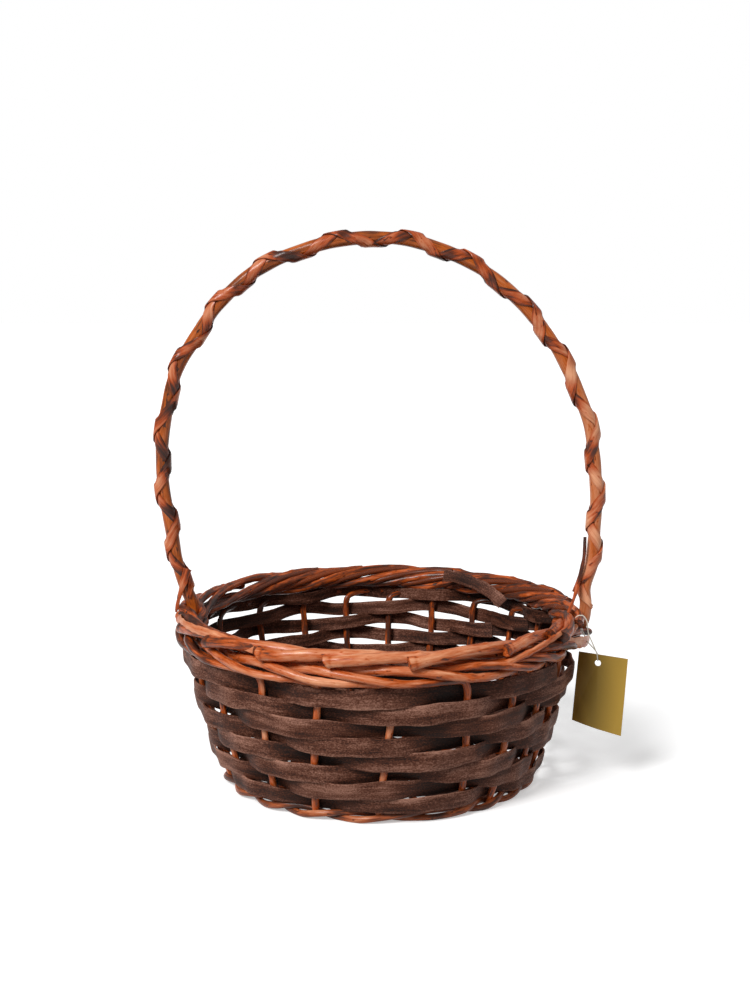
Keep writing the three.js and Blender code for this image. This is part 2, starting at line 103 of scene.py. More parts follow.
# The handle's legs: bearing, radii at three heights in the border, and where rods cross inwards
LEG_HEIGHTS = (107 * MM, 114 * MM, 128 * MM)
LEGS = (
    (LEFT, (139.2 * MM, 139.5 * MM, 139.5 * MM), 2.45),
    (RIGHT, (148.5 * MM, 152.5 * MM, 154.5 * MM), 1.3),
)
LEG_IN_WALL = (101, 90, 76, 62)
LEG_THICKNESS = 4.6 * MM
LEG_SWELLS = (98 * MM, 118 * MM)
LEG_TIP_TAPERS = (62 * MM, 74 * MM)

# Rods that are cut shorter than the others: the stake's number and how far its rod runs
ROD_ENDS = {7: 5.43, 8: 5.1, 11: 5.25, 1: 5.42}

# Thin rods that fill the braid at the back: the stakes they lie after, how far they run, thickness
FILLERS = range(9, 18)
FILLER_PASSED = (0.3, 4.9)
FILLER_THICKNESS = 4.6 * MM

# Thickness of a border rod at a number of stakes passed, as a share of its cut end's
ROD_PASSED = (0, 0.7, 1.6, 2.6, 3.6, 4.6, 5.8)
ROD_SHARES = (0.66, 0.68, 0.75, 0.83, 0.89, 0.95, 1)
SLIMMER_AT_BACK = 0.2

# Knots of a rod: how many, how far they stand out in mm and how long they are. Then its flat face
# in the wall, its three lobes, and its flared and slanted cut end.
KNOTS = 3
KNOT_HEIGHTS = (0.25, 0.6)
KNOT_LENGTH = 2.2 * MM
FLAT_FACE = 0.2
LOBES = 0.045
CUT_FLARE = 0.45 * MM
CUT_SLANTS = (0.8, 0.6)

# How light the willow is at each bearing, partly stain and partly painted light and shade: the front
# was rubbed pale and is painted paler where the light falls, the left and back are stained dark, and
# the right and back are painted darker as shade
TONE_BEARINGS = (-180, -120, -85, -60, -40, -10, 15, 45, 85, 130, 180)
WILLOW_STAIN_AND_SHADE = (0.33, 0.26, 0.22, 0.26, 0.54, 0.72, 0.59, 0.47, 0.30, 0.23, 0.33)

# How light the handle is at distances to the right of its middle
HANDLE_TONE_PLACES = (-160 * MM, -90 * MM, 60 * MM, 130 * MM, 160 * MM)
HANDLE_TONES = (0.44, 0.42, 0.4, 0.58, 0.66)

# Wall weave: the last row is narrow, and at the front it stands inside all the stakes. From the
# right round to the back the weave runs one stake ahead.
CHIP_ROWS = 9
CHIP_MIDDLE = 14.2 * MM
CHIP_PITCH = 11.5 * MM
CHIP_REPEAT = 3
STAKES_AT_BACK = range(5, 17)
CHIP_OVERLAP = 9.0
LOWEST_CHIP_NARROWER = 1.6 * MM
TOP_CHIP_WIDTH = 9.2 * MM
TOP_CHIP_DROP = 1.4 * MM
TOP_CHIP_RISE = 1.6 * MM
CHIP_SEAM_BEARINGS = (110, 250)
STAKE_HALF_FLAT = 2.6 * MM

# At the front the chips are wide and overlap like shingles. At the back they are narrow, and two
# that both pass outside a stake draw apart there, so that light shows between them.
FRONT_UP_TO = 62
BACK_FROM = 104
CHIP_WIDTH_AT_BACK = 0.79
CHIP_SHIFT_FRONT = 0.35 * MM
CHIP_SHIFT_BACK = 1.6 * MM
CHIP_STAND = 1.3 * MM
CHIP_BULGE = 2 * MM
CHIP_CURL = 0.35 * MM

# Where the chips stand out from the stakes: bearing, by how much, in how many degrees the swelling
# fades, and between which heights it sets in
CHIP_SWELLINGS = (
    (268, 3 * MM, (10, 55), (50 * MM, 90 * MM)),
    (86, 8 * MM, (12, 40), (62 * MM, 104 * MM)),
)

# How far the chips lean back under the rows above them
SHINGLE_FRONT = math.radians(8)
SHINGLE_BACK = math.radians(1)

# Degrees by which the foot of a stake stands off from where the stake enters the border
STAKE_LEANS = {19: -3.3, 20: -5.6, 0: -4.5, 1: 4}
STAKE_LEAN_ENDS = 95 * MM

# Foot: its middle height, how far its two rods swing up and out, and the stake where they begin
FOOT_LEVEL = 4.05 * MM
FOOT_RISE = 2.3 * MM
FOOT_SWING = 3.7 * MM
FOOT_START = 10.5

# Base: the sticks of its cross, which are laid side by side, fan out and end under the wall, and
# its rings of chip
STICKS_EACH_WAY = 5
STICK_PITCH = 5 * MM
STICK_CROSSING = 13 * MM
STICK_FAN = 26 * MM
STICK_END = 104 * MM
STICK_WIDTH = 4.4 * MM
STICK_THICKNESS = 2.8 * MM
LOWER_CROSSING = 1.5 * MM
UPPER_CROSSING = 4.8 * MM
BASE_LEVEL = 3.4 * MM
BASE_RINGS = 6
BASE_RING_RADIUS = 39 * MM
BASE_RING_PITCH = 11.9 * MM
BASE_RING_WIDTH = 11 * MM
BASE_RING_THICKNESS = 1 * MM
BASE_RING_LIFT = 2.3 * MM
OUTER_RING_WIDTH = 14 * MM
OUTER_RING_SHIFT = 1.6 * MM

# Handle: the points of the hoop between its two legs, in mm to the right and upwards
HOOP = (
    (-144.5, 141), (-150.5, 162), (-154.5, 188), (-159, 214), (-160, 244), (-156.5, 270),
    (-148.5, 301), (-134, 326), (-117, 350), (-91, 373.5), (-59, 388.5), (-20, 397.5), (18, 397),
    (52, 387), (81, 371), (107, 347.5), (128.5, 320), (142.5, 294), (154, 264), (158.5, 236),
    (160.5, 207), (159.5, 176), (158, 158), (153.5, 140),
)

# Distances in mm along the handle at which the two splints cross on its outer side
SPLINT_CROSSINGS = (
    110.6, 153.3, 199.5, 252.1, 303.1, 349.3, 401.9, 456.1, 499.6, 556.8, 599, 654.5, 703.9, 746.3,
)
SPLINT_TURN = 50 * MM
SPLINT_SPAN = (73 * MM, 791 * MM)
SPLINT_SLANT_SHARE = 1.17
SPLINT_CLEARANCE = 0.25 * MM

# Ends of splints, rods and a chip that stand off the weave: name, wood, width at the start and at
# the end, thickness, tone from 0 to 1 and the points that each one passes. Lengths are in mm.
LOOSE_ENDS = (
    ("left_tongue", "handle_splint", 6.5, 1.5, 1.2, 0.4,
     ((-142, -6, 156), (-145.5, -7, 144.8), (-148.7, -7, 134.2), (-151.1, -7, 123.5))),
    ("right_tongue", "handle_splint", 2.4, 3, 1, 0.2,
     ((152.1, -6, 180.1), (151.7, -6, 165.8), (148.9, -7, 151.6), (144.3, -10, 139.4))),
    ("right_strand", "handle_splint", 3, 1.6, 1, 0.5,
     ((147, -8, 146), (146.4, -10, 142.4), (140.4, -25, 132.2), (131.5, -40, 118.6))),
    ("left_band", "willow_rod", 6, 6, 1.8, 0.66,
     ((-146.5, -6, 124), (-146, -32, 125), (-136.5, -62, 126.4), (-112, -94.3, 127.2),
      (-84.6, -120.5, 124.5))),
    ("split_stick", "willow_rod", 4.6, 3.4, 3.6, 0.62,
     ((84.5, -121.5, 114.4), (98, -112, 118), (110.3, -100.2, 121), (132.7, -66.5, 125.4))),
    ("pale_stick", "willow_rod", 4.4, 4, 3.6, 0.72,
     ((128.2, -72.3, 113.1), (135, -57, 117.5), (142.2, -40.9, 121.1))),
    ("right_flat", "willow_rod", 8, 8.5, 2.6, 0.78,
     ((131, -68, 114.5), (141, -52, 111.4), (150, -33, 107.4), (154.5, -15, 103.6))),
    ("back_fold", "wood_chip", 9, 10, 1.2, 0.5,
     ((53, 110, 127), (66, 105, 125.4), (80, 98, 121.6), (91, 88.5, 116.5), (99, 79.5, 110))),
)

# Tag: the card hangs turned, with its right side nearer, and is cut a little out of square. Its
# corners are in mm from the hole.
TAG_HOLE = (159.9 * MM, -32.73 * MM, 91.4 * MM)
TAG_HOLD = (146.73 * MM, -32.73 * MM, 122.56 * MM)
TAG_TURN = math.radians(21)
TAG_HOLE_RADIUS = 2.3 * MM
TAG_THICKNESS = 0.6 * MM
TAG_CURL = 2.2 * MM
TAG_CORNERS = ((-14.3, 7.4), (22.1, 5.1), (17.9, -54.0), (-18.9, -45.6))

# Thread: its radius, and the points of its loop in mm, from the hold over the border's rod and
# down, from the middle of the hole through the card, and from the hold again on its way up
THREAD_RADIUS = 0.42 * MM
THREAD_DOWN = ((-1.2, 0, 4.3), (1.4, 0, 4.3), (4.5, 0, 0), (5.5, -0.8, -8))
THREAD_IN_HOLE = ((-0.6, -1.2, 6.9), (0, -0.8, 2.3), (0, 0, 1.6), (0, 0.8, 2.3), (-1, 1.2, 6.9))
THREAD_UP = (
    (4.4, 0.8, -14), (2, 0.4, -8.5), (-1.2, 0, -4.6), (-4.5, 0, 0), (-3.2, 0, 3.4), (-0.8, 0, 4.6),
)

# Camera, worked out from the photograph: place, tilt and focal length in pixels of its height
CAMERA_PLACE = (-3.07 * MM, -1150 * MM, 391.4 * MM)
CAMERA_TILT = math.radians(9.12)
FOCAL_PIXELS = 1574
PHOTO_HEIGHT = 1000
SENSOR_HEIGHT = 36

# Studio light: name, where it shines from, its width in degrees and its strength
SUNS = (
    ("key", (-0.66, -0.9, 0.95), 22, 2.75),
    ("fill", (0.9, 0.5, 0.8), 70, 0.4),
)

# Floor: its size and its level, its white as the camera sees it and as it lights the basket, and
# its glow. Then the light of the room.
FLOOR_SIZE = 14
FLOOR_LEVEL = -0.0002
FLOOR_SEEN = "#f4f4f4"
FLOOR_BOUNCE = "#9a9a9a"
FLOOR_GLOW = 0.4
ROOM_LIGHT = 0.27

# Detail of the round strands, as the number of their sides and the length of one step, and of the
# flat ones, as the length of one step
STAKE_DETAIL = (20, 1.6 * MM)
FILLER_DETAIL = (12, 2 * MM)
FOOT_DETAIL = (12, 3 * MM)
HANDLE_DETAIL = (24, 2.5 * MM)
THREAD_DETAIL = (8, 0.8 * MM)
CHIP_STEP = 2.4 * MM
STICK_STEP = 5 * MM
RING_STEP = 4 * MM
SPLINT_STEP = 1.5 * MM
ROUTE_STEP = 1.5 * MM

# First seed of each kind of piece, and the first number of its grain. The grain is shifted by so
# much for each number.
SEEDS = {"stake": 100, "row": 200, "foot": 300, "ring": 400, "splint": 500, "filler": 700}
GRAINS = {
    "stake": 0, "handle": 33, "row": 40, "foot": 60, "stick": 70, "ring": 90, "splint": 110,
    "thread": 120, "loose_end": 130, "filler": 150,
}
GRAIN_SHIFT = np.array([0.61, 0.047, 0.031])

# Eased edges of a strip as a share of its thickness, and insets of a rod's end while the rod still
# has a radius of 1 m
EDGE_EASING = 0.34
ROD_END_INSETS = (0.14, 0.4)

# Angle between faces up to which a piece is shaded smooth
SMOOTH_UP_TO = math.radians(35)


def linear(hex_colour):
    """Turns an sRGB hex colour into the linear red, green and blue that the shaders use."""
    channels = [int(hex_colour[i:i + 2], 16) / 255 for i in (1, 3, 5)]
    return tuple(c / 12.92 if c <= 0.04045 else ((c + 0.055) / 1.055) ** 2.4 for c in channels)


def opaque(colour):
    """Adds the alpha that a colour socket wants."""
    return (*colour, 1.0)


def size_property(name, description, usual, least, most):
    """Size setting, given in millimetres."""
    return bpy.props.FloatProperty(
        name=name, description=description, default=usual * MM, min=least * MM, max=most * MM,
        unit="LENGTH")


class BasketSizes(bpy.types.PropertyGroup):
    """Sizes of the strands that the basket is woven from."""

    stake_width: size_property("Stake width", "Width of a stake as seen in the wall", 5.2, 2, 8)
    rod_thickness: size_property("Border rod", "Thickness of a rod at its cut end", 8.2, 4, 10)
    chip_width: size_property("Chip width", "Width of the chips woven round the wall", 13.4, 8, 15)
    chip_thickness: size_property("Chip thickness", "Thickness of the wood chips", 1.2, 0.6, 2)
    foot_thickness: size_property(
        "Foot rod", "Thickness of the two rods twined round the foot", 4.8, 3, 6)
    handle_thickness: size_property("Handle rod", "Thickness of the hooped rod", 9.3, 6, 10)
    splint_width: size_property(
        "Splint width", "Width of the two splints that bind the handle", 8.6, 4, 10)
    splint_thickness: size_property("Splint thickness", "Thickness of the splints", 1.15, 0.5, 1.8)


def colour_property(name, description, hex_colour):
    """Colour setting that starts from an sRGB hex colour."""
    return bpy.props.FloatVectorProperty(
        name=name, description=description, subtype="COLOR", size=3, min=0, max=1,
        default=linear(hex_colour))


class BasketColours(bpy.types.PropertyGroup):
    """Colours of the basket's woods and of its tag."""

    willow: colour_property("Willow", "Stain on the border rods", "#be5418")
    rubbed: colour_property("Rubbed willow", "Willow where the stain was rubbed thin", "#f0aa80")
    handle: colour_property("Handle", "Stain on the handle's rod", "#bd5a14")
    splint: colour_property("Splints", "Stain on the handle's splints", "#b84f1e")
    foot: colour_property("Foot", "Stain on the twined foot", "#a8542a")
    chip: colour_property("Chips", "Dye of the wood chips", "#583020")
    fuzz: colour_property("Chip fuzz", "Raised fibres on the chips", "#ab7c69")
    # Ends of a painted reflection: painted shade on the tag's far side, painted sheen on its near
    # side
    tag_painted_shade: colour_property("Tag, dark side", "Gold coating on the tag's far side", "#785305")
    tag_painted_sheen: colour_property("Tag, light side", "Gold coating on the tag's near side", "#b08d3a")
    thread: colour_property("Thread", "Cotton thread of the tag", "#efe9d8")


def place(bearing, radius, height):
    """Point at a bearing, a distance from the basket's axis and a height."""
    angle = math.radians(bearing)
    return np.array([radius * math.sin(angle), -radius * math.cos(angle), height])


def stake_circle(height):
    """Radius of the circle that the stakes stand on."""
    mm = height / MM
    return (CIRCLE_AT_FOOT + CIRCLE_LEAN * mm - CIRCLE_CURVE * mm * mm) * MM


def wall_lean(height):
    """Angle by which the wall leans outwards."""
    return math.atan(CIRCLE_LEAN - 2 * CIRCLE_CURVE * height / MM)


def bearing_at(stakes):
    """Bearing of any place along the row of stakes, whole numbers being the stakes themselves."""
    turns, within = divmod(stakes, STAKES)
    before = int(within)
    start = STAKE_BEARINGS[before]
    end = STAKE_BEARINGS[before + 1] if before + 1 < STAKES else STAKE_BEARINGS[0] + 360
    return turns * 360 + start + (end - start) * (within - before)


def smoothstep(value, low, high):
    """Goes smoothly from 0 up to the low value to 1 from the high one on."""
    t = np.clip((value - low) / (high - low), 0, 1)
    return t * t * (3 - 2 * t)


def wander(along, wavelength, seed):
    """Smooth random wave between about -1 and 1 along a strand."""
    dice = random.Random(seed)
    total = np.zeros_like(along)
    weight = 0
    for octave in (1.0, 0.57, 0.31):
        turn = 2 * math.pi / (wavelength * octave * dice.uniform(0.9, 1.1))
        total += octave * np.sin(along * turn + dice.uniform(0, 2 * math.pi))
        weight += octave
    return total * 1.6 / weight


def smooth_route(points, step):
    """Centripetal Catmull-Rom curve through points, with a point about every step."""
    points = [np.array(point, float) for point in points]
    points = [2 * points[0] - points[1], *points, 2 * points[-1] - points[-2]]
    route = []
    for a, b, c, d in zip(points, points[1:], points[2:], points[3:]):
        knots = np.cumsum([0, *(np.linalg.norm(q - p) ** 0.5 for p, q in ((a, b), (b, c), (c, d)))])
        count = max(int(np.linalg.norm(c - b) / step), 1)
        for t in np.linspace(knots[1], knots[2], count, endpoint=False):
            ab = (a * (knots[1] - t) + b * t) / knots[1]
            bc = (b * (knots[2] - t) + c * (t - knots[1])) / (knots[2] - knots[1])
            cd = (c * (knots[3] - t) + d * (t - knots[2])) / (knots[3] - knots[2])
            abc = (ab * (knots[2] - t) + bc * t) / knots[2]
            bcd = (bc * (knots[3] - t) + cd * (t - knots[1])) / (knots[3] - knots[1])
            route.append((abc * (knots[2] - t) + bcd * (t - knots[1])) / (knots[2] - knots[1]))
    return np.array([*route, points[-2]])


def route_length(route):
    """Length of a route."""
    return float(np.linalg.norm(np.diff(route, axis=0), axis=1).sum())


def reach_along(route):
    """How far each point of a route lies from the route's start, along it."""
    return np.concatenate([[0], np.cumsum(np.linalg.norm(np.diff(route, axis=0), axis=1))])


def read_at(where, reach, values):
    """Points or directions given along a route, read at other distances along it."""
    return np.column_stack([np.interp(where, reach, values[:, k]) for k in range(3)])


def steady(direction, route):
    """The same direction for each point of a route."""
    return np.tile(direction, (len(route), 1))


def corners(piece):
    """The piece's vertices as an array, one row each."""
    co = np.empty(len(piece.data.vertices) * 3)
    piece.data.vertices.foreach_get("co", co)
    return co.reshape(-1, 3)


def reshape(piece, co):
    """Moves the piece's vertices."""
    piece.data.vertices.foreach_set("co", np.ascontiguousarray(co).ravel())
    piece.data.update()


def start_with(name):
    """Names the new primitive and puts its place into its mesh."""
    piece = bpy.context.object
    piece.name = name
    piece.data.name = name
    bpy.ops.object.transform_apply(location=True, rotation=True, scale=True)
    return piece


def clear_selection():
    """Leaves nothing selected, in object mode."""
    bpy.ops.object.select_all(action="DESELECT")


def choose(piece, kind, wanted):
    """In edit mode, selects just the edges or faces for which wanted is true."""
    bpy.ops.mesh.select_mode(type=kind)
    bpy.ops.mesh.select_all(action="DESELECT")
    mesh = bmesh.from_edit_mesh(piece.data)
    for part in mesh.edges if kind == "EDGE" else mesh.faces:
        if wanted(part):
            part.select_set(True)
    bmesh.update_edit_mesh(piece.data)


def edge_span(edge, axis):
    """How far an edge reaches along one axis."""
    return abs(edge.verts[0].co[axis] - edge.verts[1].co[axis])


def cut_lengthwise(piece, length, step):
    """In edit mode, cuts the edges along a straight piece about every step.

    One call of the operator makes 100 cuts at most, so a long piece is cut in two rounds.
    """
    pieces = max(int(length / step), 3)
    second = math.ceil(pieces / 100)
    first = math.ceil(pieces / second)
    choose(piece, "EDGE", lambda edge: edge_span(edge, 0) > length / 2)
    bpy.ops.mesh.subdivide(number_cuts=first - 1)
    if second > 1:
        choose(piece, "EDGE", lambda edge: edge_span(edge, 0) > 0.6 * length / first)
        bpy.ops.mesh.subdivide(number_cuts=second - 1)


def straight_rod(name, length, sides, step):
    """Round rod along X, 1 m in radius until it is shaped, with its two ends eased."""
    clear_selection()
    bpy.ops.mesh.primitive_cylinder_add(
        vertices=sides, radius=1, depth=length, location=(length / 2, 0, 0),
        rotation=(0, math.pi / 2, 0))
    rod = start_with(name)
    bpy.ops.object.mode_set(mode="EDIT")
    choose(rod, "FACE", lambda face: abs(face.normal.x) > 0.5)
    for inset in ROD_END_INSETS:
        bpy.ops.mesh.inset(thickness=inset)
    cut_lengthwise(rod, length, step)
    bpy.ops.object.mode_set(mode="OBJECT")
    return rod


def straight_strip(name, length, width, thickness, step):
    """Flat strip along X, its width along Z, with eased edges."""
    clear_selection()
    bpy.ops.mesh.primitive_cube_add(
        size=1, location=(length / 2, 0, 0), scale=(length, thickness, width))
    strip = start_with(name)
    bpy.ops.object.mode_set(mode="EDIT")
    choose(strip, "EDGE", lambda edge: edge_span(edge, 0) > length / 2)
    bpy.ops.mesh.bevel(offset=thickness * EDGE_EASING, segments=2)
    choose(strip, "EDGE", lambda edge: edge_span(edge, 2) > width / 2)
    bpy.ops.mesh.subdivide(number_cuts=5)
    cut_lengthwise(strip, length, step)
    bpy.ops.object.mode_set(mode="OBJECT")
    return strip


def mark_grain(piece, kind, number=0):
    """Keeps the straight shape, shifted for each piece, as what the wood's grain follows."""
    shift = GRAIN_SHIFT * (GRAINS[kind] + number)
    grain = piece.data.attributes.new("grain", "FLOAT_VECTOR", "POINT")
    grain.data.foreach_set("vector", (corners(piece) + shift).ravel())


def mark_tone(piece, tone):
    """Keeps how light the wood is at each vertex, from 0 for black stain to 1 for bare wood."""
    values = np.broadcast_to(np.asarray(tone, float), (len(piece.data.vertices),))
    attribute = piece.data.attributes.new("tone", "FLOAT", "POINT")
    attribute.data.foreach_set("value", np.ascontiguousarray(values))


def willow_stain_and_shade(co):
    """How light the willow is round the basket: partly stain, partly painted light and shade."""
    bearing = np.degrees(np.arctan2(co[:, 0], -co[:, 1]))
    return np.interp(bearing, TONE_BEARINGS, WILLOW_STAIN_AND_SHADE)


def lay_along(piece, route, inward):
    """Bends a straight piece: its x follows the route, its y points inwards and its z across."""
    reach = reach_along(route)
    tangent = np.gradient(route, reach, axis=0)
    tangent /= np.linalg.norm(tangent, axis=1)[:, None]
    inward = inward - (inward * tangent).sum(axis=1)[:, None] * tangent
    inward /= np.linalg.norm(inward, axis=1)[:, None]
    across = np.cross(tangent, inward)
    co = corners(piece)
    middle, inwards, sideways = (
        read_at(co[:, 0], reach, values) for values in (route, inward, across))
    reshape(piece, middle + inwards * co[:, 1:2] + sideways * co[:, 2:3])


def towards_axis(route):
    """For each point of a route, the direction to the basket's axis."""
    inward = -route * np.array([1, 1, 0])
    return inward / np.linalg.norm(inward, axis=1)[:, None]


def finish_piece(piece, material, node=None, body="basket"):
    """Smooths the piece, gives it its material, and lets it ride on its body."""
    clear_selection()
    piece.select_set(True)
    bpy.context.view_layer.objects.active = piece
    bpy.ops.object.shade_smooth_by_angle(angle=SMOOTH_UP_TO)
    piece.data.materials.clear()
    piece.data.materials.append(material)
    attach(piece, body)
    if node:
        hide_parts(node)


def add_node(tree, kind, inputs=(), stops=(), **settings):
    """Adds one shader node with its settings, its sockets' values or links and its ramp's stops."""
    node = tree.nodes.new(f"ShaderNode{kind}")
    for name, value in settings.items():
        setattr(node, name, value)
    for name, value in dict(inputs).items():
        if isinstance(value, bpy.types.NodeSocket):
            tree.links.new(value, node.inputs[name])
        else:
            node.inputs[name].default_value = value
    for number, (position, colour) in enumerate(stops):
        elements = node.color_ramp.elements
        element = elements[number] if number < 2 else elements.new(position)
        element.position = position
        element.color = colour
    return node


def new_material(name):
    """Empty material with an output, ready for its shader."""
    material = bpy.data.materials.get(name) or bpy.data.materials.new(name)
    material.use_nodes = True
    material.node_tree.nodes.clear()
    return material, material.node_tree


def finish_material(tree, shader):
    """Sends a shader to the material's output."""
    add_node(tree, "OutputMaterial", {"Surface": shader.outputs[0]})


def shade(colour, factor, towards=(0.0, 0.0, 0.0)):
    """A colour made darker, or moved towards another one."""
    return opaque([c * factor + t * (1 - factor) for c, t in zip(colour, towards)])


def grain_noise(tree, along_mm, across_mm, detail, roughness=0.5):
    """Noise of a strand, in marks so many millimetres along it and across it."""
    grain = add_node(tree, "Attribute", attribute_name="grain")
    scale = (1000 / along_mm, 1000 / across_mm, 1000 / across_mm)
    mapping = add_node(tree, "Mapping", {"Vector": grain.outputs["Vector"], "Scale": scale})
    return add_node(tree, "TexNoise", {
        "Vector": mapping.outputs[0], "Scale": 1.0, "Detail": detail, "Roughness": roughness})


def stain_from(tree, *layers):
    """Piece's tone with the swing of some noise textures added to it."""
    tone = add_node(tree, "Attribute", attribute_name="tone").outputs["Fac"]
    for noise, swing in layers:
        tone = add_node(tree, "Math", {
            0: noise.outputs[0], 1: swing, 2: tone}, operation="MULTIPLY_ADD").outputs[0]
    middle = sum(swing for _, swing in layers) / 2
    return add_node(tree, "Math", {0: tone, 1: middle}, operation="SUBTRACT").outputs[0]


# Stain where it ran together and dried
POOLED_STAIN = linear("#2b1c17")


def varnished_willow(name, colour, rubbed, roughness, coat, contrast=1.0):
    """Peeled willow rod, stained and brushed with a clear varnish.

    The eye gets lengthwise streaks of stain, dark blotches where the stain pooled, pale places
    where it was rubbed off, and tight bright highlights from the varnish over the wood's softer ones.
    """
    material, tree = new_material(name)
    # Streaks 1 mm across and 30 mm long
    streaks = grain_noise(tree, 30, 1.0, 5.0, 0.6)
    # Pooled stain in patches about 24 mm long and 4 mm across
    pools = grain_noise(tree, 24, 4.2, 6.0, 0.66)
    stain = stain_from(tree, (streaks, 0.45 * contrast), (pools, 1.15 * contrast))
    # A few dark scars and buds, about 7 mm long and 3 mm across
    scars = grain_noise(tree, 7, 3, 2.0, 0.5)
    scarred = add_node(tree, "MapRange", {
        "Value": scars.outputs[0], "From Min": 0.64, "From Max": 0.8, "To Max": 0.6})
    stain = add_node(tree, "Math", {0: stain, 1: scarred.outputs[0]}, operation="SUBTRACT")
    stained = add_node(tree, "ValToRGB", {"Fac": stain.outputs[0]}, [
        (0.06, shade(colour, 0.04, POOLED_STAIN)), (0.27, shade(colour, 0.22, POOLED_STAIN)),
        (0.48, opaque(colour)), (0.76, shade(colour, 0.5, rubbed)), (1.0, opaque(rubbed))])
    rough = add_node(tree, "MapRange", {
        "Value": pools.outputs[0], "From Min": 0.3, "From Max": 0.7, "To Min": roughness + 0.12,
        "To Max": roughness - 0.1})
    bump = add_node(tree, "Bump", {
        "Height": streaks.outputs[0], "Strength": 0.5, "Distance": 0.4 * MM})
    shader = add_node(tree, "BsdfPrincipled", {
        "Base Color": stained.outputs[0], "Roughness": rough.outputs[0], "IOR": 1.45,
        "Specular IOR Level": 0.2, "Coat Weight": coat, "Coat Roughness": 0.2, "Coat IOR": 1.45,
        "Normal": bump.outputs[0]})
    finish_material(tree, shader)
    return material


def stained_chip(name, colour, fuzz_colour):
    """Thin chip sliced from poplar, dyed dark brown and left unvarnished.

    The eye gets fine raised fibres along the chip, pale fuzz, and darker bands where it took up more
    of the dye. The tone of the wall's chips adds painted light where they bulge and a painted
    highlight along their edges.
    """
    material, tree = new_material(name)
    # Fibres 0.6 mm across and 12 mm long, twice as coarse as real ones so that they show
    fibres = grain_noise(tree, 12, 0.6, 6.0, 0.7)
    # Fuzz of torn fibres, in specks of about 1 mm
    fuzz = grain_noise(tree, 1.3, 0.8, 4.0, 0.75)
    # Uneven dye in patches about 45 mm long and 7 mm across
    dye = grain_noise(tree, 45, 7, 3.0, 0.6)
    stain = stain_from(tree, (fibres, 0.75), (fuzz, 1.55), (dye, 1.3))
    dyed = add_node(tree, "ValToRGB", {"Fac": stain}, [
        (0.12, shade(colour, 0.08)), (0.34, shade(colour, 0.4)), (0.54, opaque(colour)),
        (0.78, shade(colour, 0.5, fuzz_colour)), (1.02, opaque(fuzz_colour))])
    height = add_node(tree, "Math", {0: fibres.outputs[0], 1: fuzz.outputs[0]}, operation="ADD")
    bump = add_node(tree, "Bump", {
        "Height": height.outputs[0], "Strength": 0.7, "Distance": 0.3 * MM})
    shader = add_node(tree, "BsdfPrincipled", {
        "Base Color": dyed.outputs[0], "Roughness": 0.62, "IOR": 1.45, "Specular IOR Level": 0.22,
        "Normal": bump.outputs[0]})
    finish_material(tree, shader)
    return material


def gold_card(name, dark, light):
    """Card with a satin gold foil coating, bare of print.

    The eye gets a reflection painted into the foil's colour, lightening from the far side of the
    turned card to the near one, and a faint paper tooth under the foil.
    """
    material, tree = new_material(name)
    where = add_node(tree, "TexCoord")
    # Paper tooth of about 0.5 mm
    tooth = add_node(tree, "TexNoise", {
        "Vector": where.outputs["Object"], "Scale": 2000.0, "Detail": 3.0})
    # Painted reflection from the card's left edge to its right edge, 35 mm apart, slanting with
    # its height
    split = add_node(tree, "SeparateXYZ", {0: where.outputs["Object"]})
    slant = add_node(tree, "Math", {
        0: split.outputs["Z"], 1: -0.16, 2: split.outputs["X"]}, operation="MULTIPLY_ADD")
    painted_sheen = add_node(tree, "MapRange", {
        "Value": slant.outputs[0], "From Min": 0.134, "From Max": 0.166})
    tone = add_node(tree, "ValToRGB", {"Fac": painted_sheen.outputs[0]}, [
        (0.0, opaque(dark)), (1.0, opaque(light)), (0.45, shade(light, 0.62))])
    rough = add_node(tree, "MapRange", {
        "Value": tooth.outputs[0], "To Min": 0.34, "To Max": 0.46})
    bump = add_node(tree, "Bump", {
        "Height": tooth.outputs[0], "Strength": 0.12, "Distance": 0.05 * MM})
    shader = add_node(tree, "BsdfPrincipled", {
        "Base Color": tone.outputs[0], "Metallic": 0.12, "Roughness": rough.outputs[0],
        "Specular IOR Level": 0.25, "Normal": bump.outputs[0]})
    finish_material(tree, shader)
    return material


def twisted_thread(name, colour):
    """Thin cotton thread, natural: a soft pale fibre with no gloss, its plies in shallow shade."""
    material, tree = new_material(name)
    # Plies 1.2 mm long and 0.4 mm across
    ply = grain_noise(tree, 1.2, 0.4, 2.0)
    tone = add_node(tree, "ValToRGB", {"Fac": ply.outputs[0]}, [
        (0.3, shade(colour, 0.6)), (0.6, opaque(colour))])
    shader = add_node(tree, "BsdfPrincipled", {
        "Base Color": tone.outputs[0], "Roughness": 0.8, "Sheen Weight": 0.3})
    finish_material(tree, shader)
    return material


def opened_for_legs(bearing, radius, height, passed):
    """Radius of a border rod after the braid has opened round the legs of the handle."""
    opened = radius
    for leg, radii, inward in LEGS:
        away = abs((bearing - leg + 180) % 360 - 180)
        bulge = (1 - smoothstep(away, *LEG_BULGE_DEGREES)) * smoothstep(passed, *LEG_BULGE_PASSED)
        middle = np.interp(height, LEG_HEIGHTS, radii)
        if passed < inward or (passed > CROSSES_OUTWARD and leg == LEFT):
            wanted = max(middle + LEG_CLEAR, radius)
        elif passed > CROSSES_OUTWARD:
            wanted = min(middle - LEG_CLEAR, radius)
        else:
            wanted = min(middle - LEG_CLEAR, radius - INNER_RODS_SHIFT)
        opened += (wanted - radius) * bulge
    return opened


# The border's path with a point every few hundredths of a stake
BORDER_CURVE = smooth_route(
    [(passed * BORDER_STAKE_GAP * MM, out * MM, up * MM) for passed, out, up in BORDER_PATH],
    0.5 * MM)
BORDER_CURVE[:, 0] *= 1 / (BORDER_STAKE_GAP * MM)


